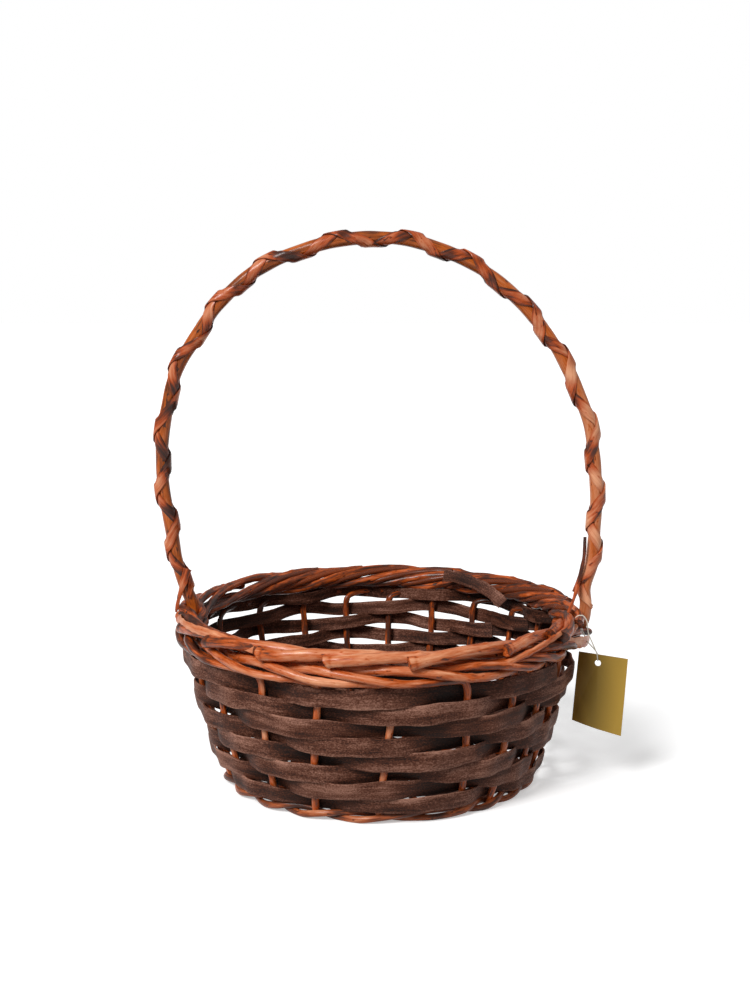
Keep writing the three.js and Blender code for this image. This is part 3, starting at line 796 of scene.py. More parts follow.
def border_place(passed):
    """Radius and height of the border's path at so many stakes passed."""
    return [float(np.interp(passed, BORDER_CURVE[:, 0], BORDER_CURVE[:, k])) for k in (1, 2)]


def rod_end(number):
    """How many stakes a rod has passed where it is cut off."""
    return ROD_ENDS.get(number, BORDER_PATH[-1][0])


def stake_route(number, dice):
    """Route of a stake: up the wall, down to the left, and through the border to its cut end."""
    heights = np.linspace(STAKE_BOTTOM, STAKE_BEND, 8)
    points = [place(stake_bearing(number, z), stake_circle(z), z) for z in heights]
    start, end = BORDER_PATH[0][0], rod_end(number)
    lift = dice.uniform(-FREE_LIFT, FREE_LIFT) * MM
    for passed in np.arange(start, end + 0.01, (end - start) / 30):
        radius, height = border_place(passed)
        at = bearing_at(number - passed)
        free = smoothstep(passed, *FREE_END)
        sag = smoothstep(passed, *SAG_STARTS) * (1 - smoothstep(passed, *SAG_ENDS))
        radius += SAG_OUT * sag * math.sin(passed * 1.9 + number)
        height += SAG_UP * sag * math.sin(passed * 1.6 + 2 * number)
        points.append(place(at, opened_for_legs(at, radius, height, passed), height + lift * free))
    return smooth_route(points, ROUTE_STEP)


def shape_stake(rod, number, length, sizes, dice):
    """Gives a straight rod its flat-faced lower end, its thicker upper end, knots and cut."""
    co = corners(rod)
    x = co[:, 0]
    passed = rod_end(number) * np.clip((x - WALL_END) / (length - WALL_END), 0, 1)
    places = np.linspace(0, rod_end(number), 40)
    at = np.interp(passed, places, [bearing_at(number - p) for p in places])
    cut_end = sizes.rod_thickness / 2 * dice.uniform(0.94, 1.06)
    share = np.interp(passed, ROD_PASSED, ROD_SHARES)
    radius = cut_end * share * (1 - SLIMMER_AT_BACK * backness(at))
    radius = np.where(x < WALL_END, sizes.stake_width / 2, radius)
    for _ in range(KNOTS):
        at = dice.uniform(WALL_END, length - 12 * MM)
        radius = radius + dice.uniform(*KNOT_HEIGHTS) * MM * np.exp(-((x - at) / KNOT_LENGTH) ** 2)
    radius = radius * (1 + 0.05 * wander(x, 34 * MM, dice.random()))
    radius = radius + CUT_FLARE * smoothstep(x, length - 6 * MM, length - 2 * MM)
    flat = 1 - FLAT_FACE * (1 - smoothstep(x, WALL_END - 8 * MM, WALL_END + 12 * MM))
    angle = np.arctan2(co[:, 2], co[:, 1])
    lobes = 1 + LOBES * np.sin(3 * angle + wander(x, 60 * MM, dice.random()) * 1.5)
    co[:, 1] *= radius * flat * lobes
    co[:, 2] *= radius * lobes
    upwards, inwards = (dice.uniform(-slant, slant) for slant in CUT_SLANTS)
    co[:, 0] += smoothstep(x, length - 5 * MM, length) * (co[:, 2] * upwards + co[:, 1] * inwards)
    reshape(rod, co)


class BASKET_OT_stakes(bpy.types.Operator):
    """Models the stakes, each with its rod in the braided border"""

    bl_idname = "basket.stakes"
    bl_label = "Stakes and Border"

    def execute(self, context):
        colours = context.scene.basket_colours
        willow = varnished_willow("willow_border", colours.willow, colours.rubbed, 0.42, 0.35, 1.5)
        for number in range(STAKES):
            self.stake(number, willow, context.scene.basket_sizes)
        for number in FILLERS:
            self.filler(number, willow)
        return {"FINISHED"}

    def stake(self, number, willow, sizes):
        """Models one stake, dark where it bends out of the wall and ringed at its cut end."""
        dice = random.Random(SEEDS["stake"] + number)
        route = stake_route(number, dice)
        length = route_length(route)
        rod = straight_rod(f"stake_rod_{number + 1:02d}", length, *STAKE_DETAIL)
        x = corners(rod)[:, 0]
        shape_stake(rod, number, length, sizes, dice)
        mark_grain(rod, "stake", number)
        lay_along(rod, route, towards_axis(route))
        in_border = smoothstep(x, 90 * MM, 112 * MM)
        in_wall = 0.55 - 0.22 * backness(STAKE_BEARINGS[number])
        # In the border: the willow's stain, painted light at the front, painted shade at the right
        # and back
        tone = in_wall + (willow_stain_and_shade(corners(rod)) - in_wall) * in_border
        upper = smoothstep(x, 0.55 * length, 0.8 * length)
        cut = smoothstep(x, length - 1.5 * MM, length - 0.5 * MM)
        ring = np.exp(-((x - length + 4.5 * MM) / (1.1 * MM)) ** 2)
        tone = tone + dice.uniform(-0.07, 0.07) - 0.05 + 0.1 * upper - 0.3 * cut - 0.22 * ring
        mark_tone(rod, tone)
        finish_piece(rod, willow, f"stake_{number + 1:02d}")

    def filler(self, number, willow):
        """Models a thin rod that lies between two of the border's rods."""
        dice = random.Random(SEEDS["filler"] + number)
        points = []
        for passed in np.linspace(*FILLER_PASSED, 30):
            radius, height = border_place(passed)
            at = bearing_at(number + 0.5 - passed)
            points.append(place(at, opened_for_legs(at, radius, height, passed), height + 1 * MM))
        route = smooth_route(points, ROUTE_STEP)
        length = route_length(route)
        rod = straight_rod(f"border_filler_{number + 1:02d}", length, *FILLER_DETAIL)
        mark_grain(rod, "filler", number)
        co = corners(rod)
        uneven = 1 + 0.08 * wander(co[:, 0], 40 * MM, dice.random())
        co[:, 1:] *= (FILLER_THICKNESS / 2 * uneven)[:, None]
        reshape(rod, co)
        lay_along(rod, route, towards_axis(route))
        # The willow's stain, with painted light at the front and painted shade at the right and back
        mark_tone(rod, willow_stain_and_shade(corners(rod)) + dice.uniform(-0.1, 0.06))
        finish_piece(rod, willow)


def stake_bearing(stake, height):
    """Bearing of a stake at a height, with its own lean."""
    lean = STAKE_LEANS.get(stake, 0) * np.clip(1 - height / STAKE_LEAN_ENDS, 0, 1)
    return STAKE_BEARINGS[stake] + lean


def chip_is_inside(row, stake):
    """Whether a row passes inside a stake. From the right to the back it runs one stake ahead."""
    if stake in STAKES_AT_BACK:
        return (stake + row) % CHIP_REPEAT == 0
    return row == CHIP_ROWS - 1 or (stake + row + 1) % CHIP_REPEAT == 0


def backness(bearings):
    """From 0 at the front of the basket to 1 at its back."""
    from_front = np.abs((np.asarray(bearings) + 180) % 360 - 180)
    return smoothstep(from_front, FRONT_UP_TO, BACK_FROM)


def around(bearings, values):
    """Values given at rising bearings, repeated a turn before and a turn after them."""
    return np.concatenate([bearings - 360, bearings, bearings + 360]), np.tile(values, 3)


def chip_offset(row, bearing, height):
    """At each bearing, a chip's side (1 outside, -1 inside), its bulge and its vertical shift."""
    at_stakes = np.array([stake_bearing(stake, height) for stake in range(STAKES)])
    inside = [chip_is_inside(row, stake) for stake in range(STAKES)]
    shifts = [
        0.0 if inside[stake]
        else float(chip_is_inside(row + 1, stake)) - chip_is_inside(row - 1, stake)
        for stake in range(STAKES)]
    bearings, sides = around(at_stakes, np.where(inside, -1.0, 1.0))
    shifts = np.tile(shifts, 3)
    after = np.searchsorted(bearings, bearing)
    before = after - 1
    flat = math.degrees(STAKE_HALF_FLAT / stake_circle(height))
    share = (bearing - bearings[before] - flat) / (bearings[after] - bearings[before] - 2 * flat)
    share = np.clip(share, 0, 1)
    turn = share * share * (3 - 2 * share)
    offset = sides[before] + (sides[after] - sides[before]) * turn
    both_outside = (sides[before] > 0) & (sides[after] > 0)
    bulge = np.where(both_outside, np.sin(np.pi * share) ** 2, 0)
    back = backness(bearing)
    shift = shifts[before] + (shifts[after] - shifts[before]) * turn
    return offset, bulge, shift * (CHIP_SHIFT_FRONT + (CHIP_SHIFT_BACK - CHIP_SHIFT_FRONT) * back)


def chip_route(row, sizes, dice):
    """Centre line of one chip row, its inward direction with the wall's lean, and the light and shade
    painted on it.
    """
    middle = CHIP_MIDDLE + row * CHIP_PITCH - (TOP_CHIP_DROP if row == CHIP_ROWS - 1 else 0)
    first, last = CHIP_SEAM_BEARINGS
    hidden = [
        bearing for stake, bearing in enumerate(STAKE_BEARINGS)
        if chip_is_inside(row, stake) and first < bearing < last]
    seam = hidden[row * 3 % len(hidden)]
    bearings = np.arange(seam - CHIP_OVERLAP, seam + 360 + CHIP_OVERLAP, 0.9)
    along = np.radians(bearings) * stake_circle(middle)
    offset, bulge, shift = chip_offset(row, bearings % 360, middle)
    stand = sizes.stake_width / 2 * 0.8 + sizes.chip_thickness / 2 + 0.25 * MM
    height = middle + shift + 0.7 * MM * wander(along, 150 * MM, dice.random())
    radius = stake_circle(height) + offset * (stand + CHIP_STAND) + bulge * CHIP_BULGE
    for bearing, swells_by, fades, heights in CHIP_SWELLINGS:
        near = 1 - smoothstep(np.abs(bearings % 360 - bearing), *fades)
        radius += swells_by * near * smoothstep(middle, *heights) * (1 + offset) / 2
    ends = np.maximum(seam - bearings, bearings - seam - 360)
    radius = radius - sizes.chip_thickness * 1.1 * smoothstep(ends, -CHIP_OVERLAP, 0)
    route = np.column_stack([
        radius * np.sin(np.radians(bearings)), -radius * np.cos(np.radians(bearings)), height])
    shingle = SHINGLE_FRONT + (SHINGLE_BACK - SHINGLE_FRONT) * backness(bearings)
    lean = wall_lean(middle) - shingle + 0.05 * wander(along, 60 * MM, dice.random())
    inward = towards_axis(route) * np.cos(lean)[:, None]
    inward[:, 2] = np.sin(lean)
    # Painted shade where the chip tucks in behind a stake, painted light where it bulges out, front
    # only
    tone = (0.1 * bulge - 0.16 * (1 - offset)) * (1 - backness(bearings))
    return route, inward, tone


def painted_back_shade_and_light(route):
    """Painted shade on the chips beside the back's middle, where the inner walls lie in shadow, and
    painted light in the middle, each from 0 to 1.
    """
    from_front = np.abs(np.degrees(np.arctan2(route[:, 0], -route[:, 1])))
    return [np.exp(-((from_front - middle) / 26) ** 2) for middle in (118, 180)]


class BASKET_OT_wall_chips(bpy.types.Operator):
    """Models the wood chips woven round the wall"""

    bl_idname = "basket.wall_chips"
    bl_label = "Wall Chips"

    def execute(self, context):
        sizes = context.scene.basket_sizes
        colours = context.scene.basket_colours
        chip = stained_chip("chip_wall", colours.chip, colours.fuzz)
        for row in range(CHIP_ROWS):
            self.row(row, chip, sizes)
        return {"FINISHED"}

    def row(self, row, chip, sizes):
        """Models one row, with ragged edges that curl inwards."""
        dice = random.Random(SEEDS["row"] + row)
        route, inward, painted_light_and_shade = chip_route(row, sizes, dice)
        reach = reach_along(route)
        width = sizes.chip_width - LOWEST_CHIP_NARROWER * (row == 0)
        top_row = row == CHIP_ROWS - 1
        if top_row:
            width = TOP_CHIP_WIDTH
        strip = straight_strip(
            f"chip_row_{row + 1:02d}", route_length(route), width, sizes.chip_thickness, CHIP_STEP)
        mark_grain(strip, "row", row)
        co = corners(strip)
        x = co[:, 0].copy()
        upper = co[:, 2] / (width / 2)
        swell = wander(x, 95 * MM, dice.random()) * 0.45 * MM
        above, below = (wander(x, length * MM, dice.random()) for length in (40, 47))
        ragged = np.where(upper > 0, above, below) * 0.28 * MM
        back = np.interp(x, reach, backness(np.degrees(np.arctan2(route[:, 0], -route[:, 1]))))
        co[:, 2] *= 1 - (1 - CHIP_WIDTH_AT_BACK) * back * (not top_row)
        co[:, 2] += TOP_CHIP_RISE * back * top_row
        co[:, 1] += TOP_CHIP_RISE * back * top_row * 0.5 * (1 + upper)
        co[:, 2] += upper * (swell + ragged) * (1 - 0.5 * back)
        co[:, 1] += CHIP_CURL * upper ** 2
        reshape(strip, co)
        lay_along(strip, route, inward)
        # Paler along both edges: a painted highlight where the chip's edges catch the light
        edge = 0.2 * smoothstep(np.abs(upper), 0.9, 0.97)
        shaded_flanks, middle = (np.interp(x, reach, share) for share in painted_back_shade_and_light(route))
        # Darker towards the back: painted shade on the inner wall there
        tone = 0.53 + dice.uniform(-0.05, 0.05) + edge - 0.06 * back + np.interp(x, reach, painted_light_and_shade)
        # Painted shade on the back's inner flanks, and painted light in the back's middle on the
        # lower rows
        mark_tone(strip, tone - 0.16 * shaded_flanks + 0.1 * middle * (row < 6))
        finish_piece(strip, chip, f"wall_chip_{row + 1:02d}")


def foot_route(turn):
    """Centre line of one of the foot's two rods, outside one stake and inside the next."""
    stakes = FOOT_START + np.linspace(0, STAKES, STAKES * 12)
    angle = np.pi * (stakes + turn)
    radius = stake_circle(FOOT_LEVEL) + FOOT_SWING * np.cos(angle)
    height = FOOT_LEVEL + FOOT_RISE * np.sin(angle)
    leans = np.array([STAKE_LEANS.get(stake, 0) for stake in range(STAKES)] * 2 + [0])
    bearings = [bearing_at(s) + np.interp(s, range(len(leans)), leans) for s in stakes]
    return np.array([place(b, r, z) for b, r, z in zip(bearings, radius, height)])


class BASKET_OT_foot(bpy.types.Operator):
    """Models the two rods twined round the foot"""

    bl_idname = "basket.foot"
    bl_label = "Twined Foot"

    def execute(self, context):
        sizes = context.scene.basket_sizes
        colours = context.scene.basket_colours
        foot = varnished_willow("willow_foot", colours.foot, colours.rubbed, 0.5, 0.3, 1.35)
        for turn, letter in enumerate("ab"):
            dice = random.Random(SEEDS["foot"] + turn)
            route = foot_route(turn)
            rod = straight_rod(f"foot_twine_{letter}", route_length(route), *FOOT_DETAIL)
            co = corners(rod)
            thick = sizes.foot_thickness / 2 * (1 + 0.08 * wander(co[:, 0], 60 * MM, dice.random()))
            co[:, 1] *= thick * 0.86
            co[:, 2] *= thick
            reshape(rod, co)
            mark_grain(rod, "foot", turn)
            lay_along(rod, route, towards_axis(route))
            co = corners(rod)
            co[:, 2] = np.maximum(co[:, 2], 0)
            reshape(rod, co)
            mark_tone(rod, 0.37 + 0.12 * wander(co[:, 0] + co[:, 1], 60 * MM, dice.random()))
            finish_piece(rod, foot, f"foot_rod_{letter}")
        return {"FINISHED"}


def base_stick_route(number):
    """Centre line of a lower base stick: straight over the crossing, then fanned out."""
    from_middle = number - (STICKS_EACH_WAY - 1) / 2
    spread = math.radians(from_middle * 360 / (4 * STICKS_EACH_WAY))
    offset = from_middle * STICK_PITCH
    out = (STICK_FAN, 0.5 * STICK_END, STICK_END)
    half = [(offset, STICK_CROSSING)] + [(r * math.sin(spread), r * math.cos(spread)) for r in out]
    return [(x, -y) for x, y in reversed(half)] + half


class BASKET_OT_base(bpy.types.Operator):
    """Models the base: crossed sticks with chips woven round them"""

    bl_idname = "basket.base"
    bl_label = "Woven Base"

    def execute(self, context):
        colours = context.scene.basket_colours
        stick = varnished_willow("base_stick_wood", colours.willow, colours.rubbed, 0.6, 0.15)
        chip = stained_chip("chip_base", colours.chip, colours.fuzz)
        for number in range(STICKS_EACH_WAY):
            for side in ("lower", "upper"):
                self.stick(stick, number, side)
        for ring in range(BASE_RINGS):
            self.ring(chip, ring)
        return {"FINISHED"}

    def stick(self, wood, number, side):
        """Models one stick of the lower or the upper layer."""
        lower = side == "lower"
        levels = [BASE_LEVEL, BASE_LEVEL, BASE_LEVEL, LOWER_CROSSING if lower else UPPER_CROSSING]
        levels = levels + levels[::-1]
        points = [(x, y, z) for (x, y), z in zip(base_stick_route(number), levels)]
        if not lower:
            points = [(-y, x, z) for x, y, z in points]
        route = smooth_route(points, 2 * MM)
        bar = straight_strip(
            f"base_bar_{side}_{number + 1:02d}", route_length(route), STICK_WIDTH, STICK_THICKNESS,
            STICK_STEP)
        dice = random.Random(f"{side}{number}")
        co = corners(bar)
        co[:, 2] *= 1 + 0.06 * wander(co[:, 0], 50 * MM, dice.random())
        reshape(bar, co)
        mark_grain(bar, "stick", number + 10 * lower)
        mark_tone(bar, 0.38)
        lay_along(bar, route, steady((0.0, 0.0, -1.0), route))
        finish_piece(bar, wood, f"base_stick_{side}_{number + 1:02d}")

    def ring(self, chip, ring):
        """Models one chip ring, over one arm and under the next."""
        outer = ring == BASE_RINGS - 1
        radius = BASE_RING_RADIUS + ring * BASE_RING_PITCH + OUTER_RING_SHIFT * outer
        bearings = np.arange(-3, 363, 1.5)
        lift = BASE_RING_LIFT * np.cos(np.radians(bearings * 2 * STICKS_EACH_WAY + 180 * ring))
        ends = smoothstep(np.maximum(-bearings, bearings - 360), -6, 3)
        height = BASE_LEVEL + lift * (1 - 0.5 * ends)
        route = np.array([place(b, radius, z) for b, z in zip(bearings, height)])
        width = OUTER_RING_WIDTH if outer else BASE_RING_WIDTH
        strip = straight_strip(
            f"base_ring_{ring + 1:02d}", route_length(route), width, BASE_RING_THICKNESS, RING_STEP)
        dice = random.Random(SEEDS["ring"] + ring)
        co = corners(strip)
        co[:, 2] *= 1 + 0.05 * wander(co[:, 0], 40 * MM, dice.random())
        reshape(strip, co)
        mark_grain(strip, "ring", ring)
        mark_tone(strip, 0.45)
        lay_along(strip, route, steady((0.0, 0.0, -1.0), route))
        finish_piece(strip, chip, f"base_chip_{ring + 1:02d}")


def leg_points(radii):
    """A leg of the handle from the border down the wall, as distances out and heights in mm."""
    in_border = [(r / MM, z / MM) for r, z in zip(radii[::-1], LEG_HEIGHTS[::-1])]
    return in_border + [(stake_circle(z * MM) / MM, z) for z in LEG_IN_WALL]


def handle_route():
    """Centre line of the handle, from the tip of the left leg over the hoop to the right one."""
    left, right = (leg_points(radii) for _, radii, _ in LEGS)
    path = [(-x, z) for x, z in reversed(left)] + list(HOOP) + right
    return smooth_route([(x * MM, 0, z * MM) for x, z in path], ROUTE_STEP)


def handle_tone(co):
    """How light the handle is: its right side was rubbed, and its top took up the most stain."""
    return np.interp(co[:, 0], HANDLE_TONE_PLACES, HANDLE_TONES)


def handle_inward(route):
    """For each point of the handle, the direction to the inside of the hoop."""
    tangent = np.gradient(route, axis=0)
    tangent /= np.linalg.norm(tangent, axis=1)[:, None]
    return np.column_stack([tangent[:, 2], np.zeros(len(route)), -tangent[:, 0]])


class BASKET_OT_handle(bpy.types.Operator):
    """Models the hooped rod of the handle"""

    bl_idname = "basket.handle"
    bl_label = "Handle Rod"

    def execute(self, context):
        sizes = context.scene.basket_sizes
        colours = context.scene.basket_colours
        willow = varnished_willow("willow_handle", colours.handle, colours.rubbed, 0.42, 0.4, 0.9)
        route = handle_route()
        rod = straight_rod("handle_rod", route_length(route), *HANDLE_DETAIL)
        co = corners(rod)
        height = np.interp(co[:, 0], reach_along(route), route[:, 2])
        full = sizes.handle_thickness / 2
        leg = LEG_THICKNESS / 2
        radius = leg + (full - leg) * smoothstep(height, *LEG_SWELLS)
        radius *= 1 + 0.05 * wander(co[:, 0], 70 * MM, 9)
        radius *= 0.5 + 0.5 * smoothstep(height, *LEG_TIP_TAPERS)
        co[:, 1:] *= radius[:, None]
        reshape(rod, co)
        mark_grain(rod, "handle")
        lay_along(rod, route, handle_inward(route))
        mark_tone(rod, handle_tone(corners(rod)))
        finish_piece(rod, willow, "handle_core")
        return {"FINISHED"}


def splint_turns(along):
    """Turns that a splint has made round the handle at each distance along it."""
    marks = np.array(SPLINT_CROSSINGS) * MM
    before = marks[0] - SPLINT_TURN * np.arange(3, 0, -1)
    after = marks[-1] + SPLINT_TURN * np.arange(1, 4)
    marks = np.concatenate([before, marks, after])
    spread = np.linspace(-12 * MM, 12 * MM, 13)
    turns = [np.interp(along + shift, marks, np.arange(len(marks))) for shift in spread]
    return np.mean(turns, axis=0)


def wrap_round_handle(strip, route, sense, radius, over):
    """Winds a straight strip round the handle, and lifts it where the other splint is under it.

    On the unrolled handle the strip's middle runs at q mm for each mm of the handle, and its width
    lies square to that. The sense is 1 or -1, and over is the lift or None.
    """
    reach = reach_along(route)
    along = np.arange(SPLINT_SPAN[0], SPLINT_SPAN[1], 1 * MM)
    angle = 2 * math.pi * splint_turns(along)
    climb = radius * np.gradient(angle, along)
    stretch = np.sqrt(1 + climb ** 2)
    run = np.concatenate([[0], np.cumsum((stretch[1:] + stretch[:-1]) / 2 * np.diff(along))])
    co = corners(strip)
    at, across = co[:, 0] * run[-1] / co[:, 0].max(), co[:, 2]
    place_along, slope, q = (np.interp(at, run, values) for values in (along, climb, stretch))
    turned = sense * np.interp(at, run, angle) + across / (q * radius)
    place_along = place_along - sense * slope * across / q
    lift = 0
    if over:
        other = -sense * np.interp(place_along, along, angle)
        apart = np.abs((turned - other + math.pi) % (2 * math.pi) - math.pi) * radius / q
        half = np.abs(across).max()
        lift = over * (1 - smoothstep(apart, half - 0.6 * MM, half + 2.6 * MM))
    out = radius + lift - co[:, 1]
    core, into = (read_at(place_along, reach, values) for values in (route, handle_inward(route)))
    normal = -into * np.cos(turned)[:, None] + np.array([0, 1, 0]) * np.sin(turned)[:, None]
    reshape(strip, core + normal * out[:, None])


class BASKET_OT_splints(bpy.types.Operator):
    """Models the two splints that bind the handle"""

    bl_idname = "basket.splints"
    bl_label = "Handle Splints"

    def execute(self, context):
        sizes = context.scene.basket_sizes
        colours = context.scene.basket_colours
        wood = varnished_willow("willow_splint", colours.splint, colours.rubbed, 0.42, 0.4, 1.2)
        hoop = handle_route()
        radius = sizes.handle_thickness / 2 + sizes.splint_thickness / 2
        length = (SPLINT_SPAN[1] - SPLINT_SPAN[0]) * SPLINT_SLANT_SHARE
        for sense, layer in ((1, "inner"), (-1, "outer")):
            strip = straight_strip(
                f"handle_binding_{layer}", length, sizes.splint_width, sizes.splint_thickness,
                SPLINT_STEP)
            co = corners(strip)
            dice = random.Random(SEEDS["splint"] + sense)
            ends = smoothstep(np.minimum(co[:, 0], length - co[:, 0]), 0, 22 * MM)
            co[:, 2] *= (1 + 0.13 * wander(co[:, 0], 55 * MM, dice.random())) * (0.35 + 0.65 * ends)
            mark_grain(strip, "splint", sense)
            edge = smoothstep(np.abs(co[:, 2]), 0.38 * sizes.splint_width, 0.5 * sizes.splint_width)
            # Darker along the splint's edges: painted shade where the edges wrap round the rod
            tone = 0.02 + 0.23 * wander(co[:, 0], 48 * MM, dice.random()) - 0.22 * edge
            co[:, 1] *= 1 - 0.7 * edge
            reshape(strip, co)
            over = sizes.splint_thickness + SPLINT_CLEARANCE if layer == "outer" else None
            wrap_round_handle(strip, hoop, sense, radius, over)
            mark_tone(strip, tone + handle_tone(corners(strip)))
            finish_piece(strip, wood, f"handle_splint_{layer}")
        return {"FINISHED"}


class BASKET_OT_loose_ends(bpy.types.Operator):
    """Models the loose ends that stand off the weave"""

    bl_idname = "basket.loose_ends"
    bl_label = "Loose Ends"

    def execute(self, context):
        colours = context.scene.basket_colours
        woods = {
            "handle_splint": varnished_willow(
                "willow_peeled", colours.splint, colours.rubbed, 0.5, 0.3, 1.2),
            "willow_rod": varnished_willow(
                "willow_stub", colours.willow, colours.rubbed, 0.5, 0.3, 1.2),
            "wood_chip": stained_chip("chip_end", colours.chip, colours.fuzz),
        }
        for number, (name, wood, start, end, thickness, tone, points) in enumerate(LOOSE_ENDS):
            route = smooth_route(np.array(points) * MM, ROUTE_STEP)
            length = route_length(route)
            strip = straight_strip(name, length, start * MM, thickness * MM, ROUTE_STEP)
            mark_grain(strip, "loose_end", number)
            co = corners(strip)
            share = co[:, 0] / length
            co[:, 2] *= 1 + (end / start - 1) * share + 0.08 * wander(co[:, 0], 18 * MM, number)
            co[:, 1] *= 1 - 0.5 * smoothstep(np.abs(co[:, 2]), 0, start * MM / 2)
            reshape(strip, co)
            lay_along(strip, route, steady((0.0, 1.0, -0.15), route))
            mark_tone(strip, tone + 0.06 * wander(share, 0.7, number))
            finish_piece(strip, woods[wood])
        return {"FINISHED"}


def on_card(x, out, z):
    """Point of the turned card: across it, out of its back and upwards from the hole."""
    turn_x, turn_y = math.cos(TAG_TURN), math.sin(TAG_TURN)
    return np.array(TAG_HOLE) + [x * turn_x + out * turn_y, -x * turn_y + out * turn_x, z]


class BASKET_OT_tag(bpy.types.Operator):
    """Models the hang tag, a bare gold card with a punched hole"""

    bl_idname = "basket.tag"
    bl_label = "Hang Tag"

    def execute(self, context):
        colours = context.scene.basket_colours
        gold = gold_card("card_gold", colours.tag_painted_shade, colours.tag_painted_sheen)
        clear_selection()
        bpy.ops.mesh.primitive_circle_add(vertices=32, radius=TAG_HOLE_RADIUS, fill_type="NOTHING")
        card = start_with("tag_card")
        bpy.ops.object.mode_set(mode="EDIT")
        bpy.ops.mesh.extrude_region_move()
        bpy.ops.object.mode_set(mode="OBJECT")
        co = corners(card)
        rim = len(co) // 2
        co[rim:, :2] = self.rim_points(co[rim:])
        reshape(card, co)
        solid = card.modifiers.new("Thickness", "SOLIDIFY")
        solid.thickness = TAG_THICKNESS
        solid.offset = 0
        bpy.ops.object.modifier_apply(modifier=solid.name)
        bent = []
        for x, z, y in corners(card):
            curl = TAG_CURL * (x / (20 * MM)) ** 2 * (-z / (50 * MM))
            bent.append(on_card(x, y + curl, z))
        reshape(card, np.array(bent))
        finish_piece(card, gold, "hang_tag", "tag")
        return {"FINISHED"}

    def rim_points(self, ring):
        """Sends the points of a ring straight out to the card's four edges."""
        sides = list(zip(TAG_CORNERS, TAG_CORNERS[1:] + TAG_CORNERS[:1]))
        points = []
        for x, z, _ in ring:
            ray = np.array([x, z]) / math.hypot(x, z)
            hits = []
            for start, end in sides:
                edge = np.subtract(end, start)
                across = ray[0] * edge[1] - ray[1] * edge[0]
                reach = (start[0] * edge[1] - start[1] * edge[0]) / across
                if reach > 0:
                    hits.append(reach)
            points.append(ray * min(hits) * MM)
        for corner in np.array(TAG_CORNERS) * MM:
            nearest = min(range(len(points)), key=lambda i: math.dist(points[i], corner))
            points[nearest] = corner
        return np.array(points)


class BASKET_OT_thread(bpy.types.Operator):
    """Models the thread loop that holds the tag"""

    bl_idname = "basket.thread"
    bl_label = "Tag Thread"

    def execute(self, context):
        cotton = twisted_thread("thread_cotton", context.scene.basket_colours.thread)
        hold = np.array(TAG_HOLD)
        points = [hold + np.array(point) * MM for point in THREAD_DOWN]
        points += [on_card(*(np.array(point) * MM)) for point in THREAD_IN_HOLE]
        points += [hold + np.array(point) * MM for point in THREAD_UP]
        route = smooth_route(points, 0.6 * MM)
        thread = straight_rod("tag_string", route_length(route), *THREAD_DETAIL)
        co = corners(thread)
        co[:, 1:] *= THREAD_RADIUS
        reshape(thread, co)
        mark_grain(thread, "thread")
        lay_along(thread, route, steady((0.0, 1.0, 0.05), route))
        finish_piece(thread, cotton, "tag_thread", "tag")
        return {"FINISHED"}


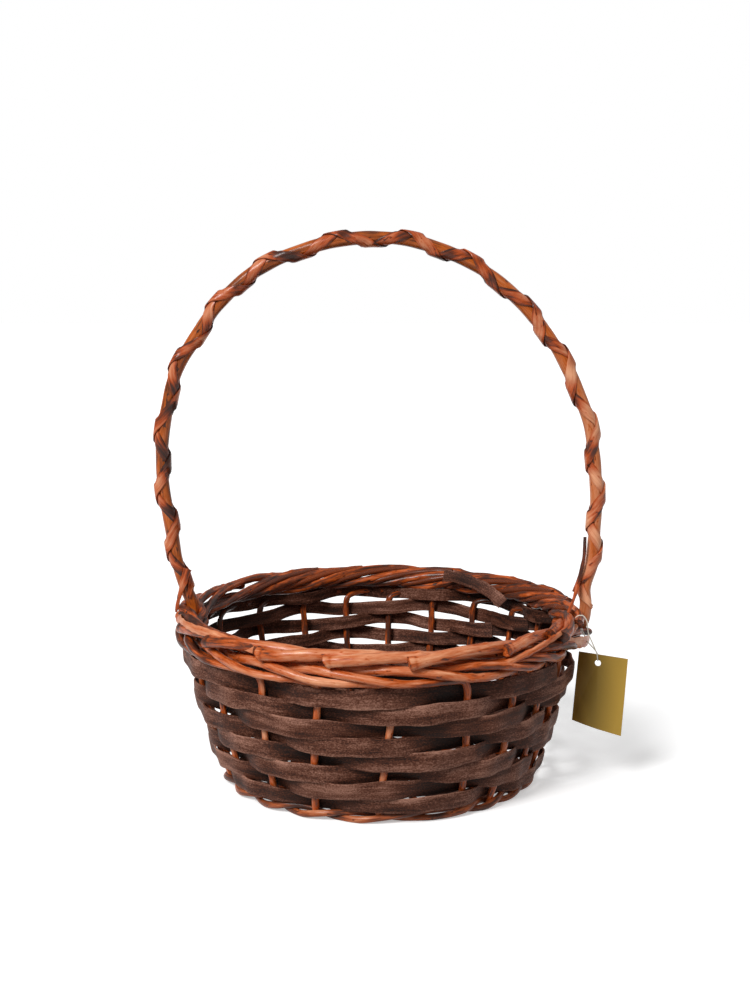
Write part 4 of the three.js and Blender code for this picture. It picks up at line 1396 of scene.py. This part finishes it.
class BASKET_OT_stage(bpy.types.Operator):
    """Sets up the floor, the soft studio light and the camera"""

    bl_idname = "basket.stage"
    bl_label = "Studio"

    def execute(self, context):
        scene = context.scene
        scene.view_settings.view_transform = "Standard"
        self.floor()
        self.world(scene)
        for name, where, width, strength in SUNS:
            clear_selection()
            bpy.ops.object.light_add(type="SUN", location=where)
            sun = bpy.context.object
            sun.name = name
            sun.data.angle = math.radians(width)
            sun.data.energy = strength
            sun.rotation_euler = (-Vector(where)).to_track_quat("-Z", "Y").to_euler()
        clear_selection()
        bpy.ops.object.camera_add(location=CAMERA_PLACE, rotation=(math.pi / 2 - CAMERA_TILT, 0, 0))
        camera = bpy.context.object
        camera.name = "photo_camera"
        camera.data.sensor_fit = "VERTICAL"
        camera.data.sensor_height = SENSOR_HEIGHT
        camera.data.lens = SENSOR_HEIGHT * FOCAL_PIXELS / PHOTO_HEIGHT
        scene.camera = camera
        return {"FINISHED"}

    def floor(self):
        """Adds a wide white floor that keeps the basket's shadow."""
        clear_selection()
        bpy.ops.mesh.primitive_plane_add(size=FLOOR_SIZE, location=(0, 0, FLOOR_LEVEL))
        floor = start_with("studio_floor")
        material, tree = new_material("studio_white")
        rays = add_node(tree, "LightPath")
        seen = add_node(tree, "Math", {
            0: rays.outputs["Is Camera Ray"], 1: rays.outputs["Is Glossy Ray"]},
            operation="MAXIMUM")
        seen = add_node(tree, "Math", {
            0: seen.outputs[0], 1: rays.outputs["Is Transmission Ray"]}, operation="MAXIMUM")
        paper = add_node(tree, "BsdfDiffuse", {"Color": opaque(linear(FLOOR_SEEN))})
        bounce = add_node(tree, "BsdfDiffuse", {"Color": opaque(linear(FLOOR_BOUNCE))})
        glow = add_node(tree, "Emission", {"Strength": FLOOR_GLOW})
        both = add_node(tree, "AddShader", {0: paper.outputs[0], 1: glow.outputs[0]})
        mixed = add_node(tree, "MixShader", {
            0: seen.outputs[0], 1: bounce.outputs[0], 2: both.outputs[0]})
        finish_material(tree, mixed)
        floor.data.materials.append(material)

    def world(self, scene):
        """Lights the room softly, and shows as white where nothing stands before it."""
        scene.world = bpy.data.worlds.new("studio")
        scene.world.use_nodes = True
        tree = scene.world.node_tree
        tree.nodes.clear()
        rays = add_node(tree, "LightPath")
        seen = add_node(tree, "Math", {
            0: rays.outputs["Is Camera Ray"], 1: rays.outputs["Is Transmission Ray"]},
            operation="MAXIMUM")
        strength = add_node(tree, "MapRange", {
            "Value": seen.outputs[0], "To Min": ROOM_LIGHT, "To Max": 1.0})
        light = add_node(tree, "Background", {
            "Color": (1, 1, 1, 1), "Strength": strength.outputs[0]})
        add_node(tree, "OutputWorld", {"Surface": light.outputs[0]})


class BASKET_PT_panel(bpy.types.Panel):
    """Lists the basket's sizes, colours and pieces"""

    bl_label = "Round Willow Basket"
    bl_idname = "BASKET_PT_panel"
    bl_space_type = "VIEW_3D"
    bl_region_type = "UI"
    bl_category = "Basket"

    def draw(self, context):
        column = self.layout.column()
        for group in (context.scene.basket_sizes, context.scene.basket_colours):
            for name in group.__annotations__:
                column.prop(group, name)
        for piece in PIECES:
            column.operator(piece.bl_idname)


PIECES = (
    BASKET_OT_stage, BASKET_OT_stakes, BASKET_OT_wall_chips, BASKET_OT_foot, BASKET_OT_base,
    BASKET_OT_handle, BASKET_OT_splints, BASKET_OT_loose_ends, BASKET_OT_tag, BASKET_OT_thread,
)
CLASSES = (BasketSizes, BasketColours, *PIECES, BASKET_PT_panel)


def register():
    for kind in CLASSES:
        bpy.utils.register_class(kind)
    bpy.types.Scene.basket_sizes = bpy.props.PointerProperty(type=BasketSizes)
    bpy.types.Scene.basket_colours = bpy.props.PointerProperty(type=BasketColours)


def unregister():
    del bpy.types.Scene.basket_colours
    del bpy.types.Scene.basket_sizes
    for kind in reversed(CLASSES):
        bpy.utils.unregister_class(kind)


def build_basket():
    """Builds every piece."""
    register()
    bpy.ops.basket.stage()
    bpy.ops.basket.stakes()
    bpy.ops.basket.wall_chips()
    bpy.ops.basket.foot()
    bpy.ops.basket.base()
    bpy.ops.basket.handle()
    bpy.ops.basket.splints()
    bpy.ops.basket.loose_ends()
    bpy.ops.basket.tag()
    bpy.ops.basket.thread()


if __name__ == "__main__":
    build_basket()
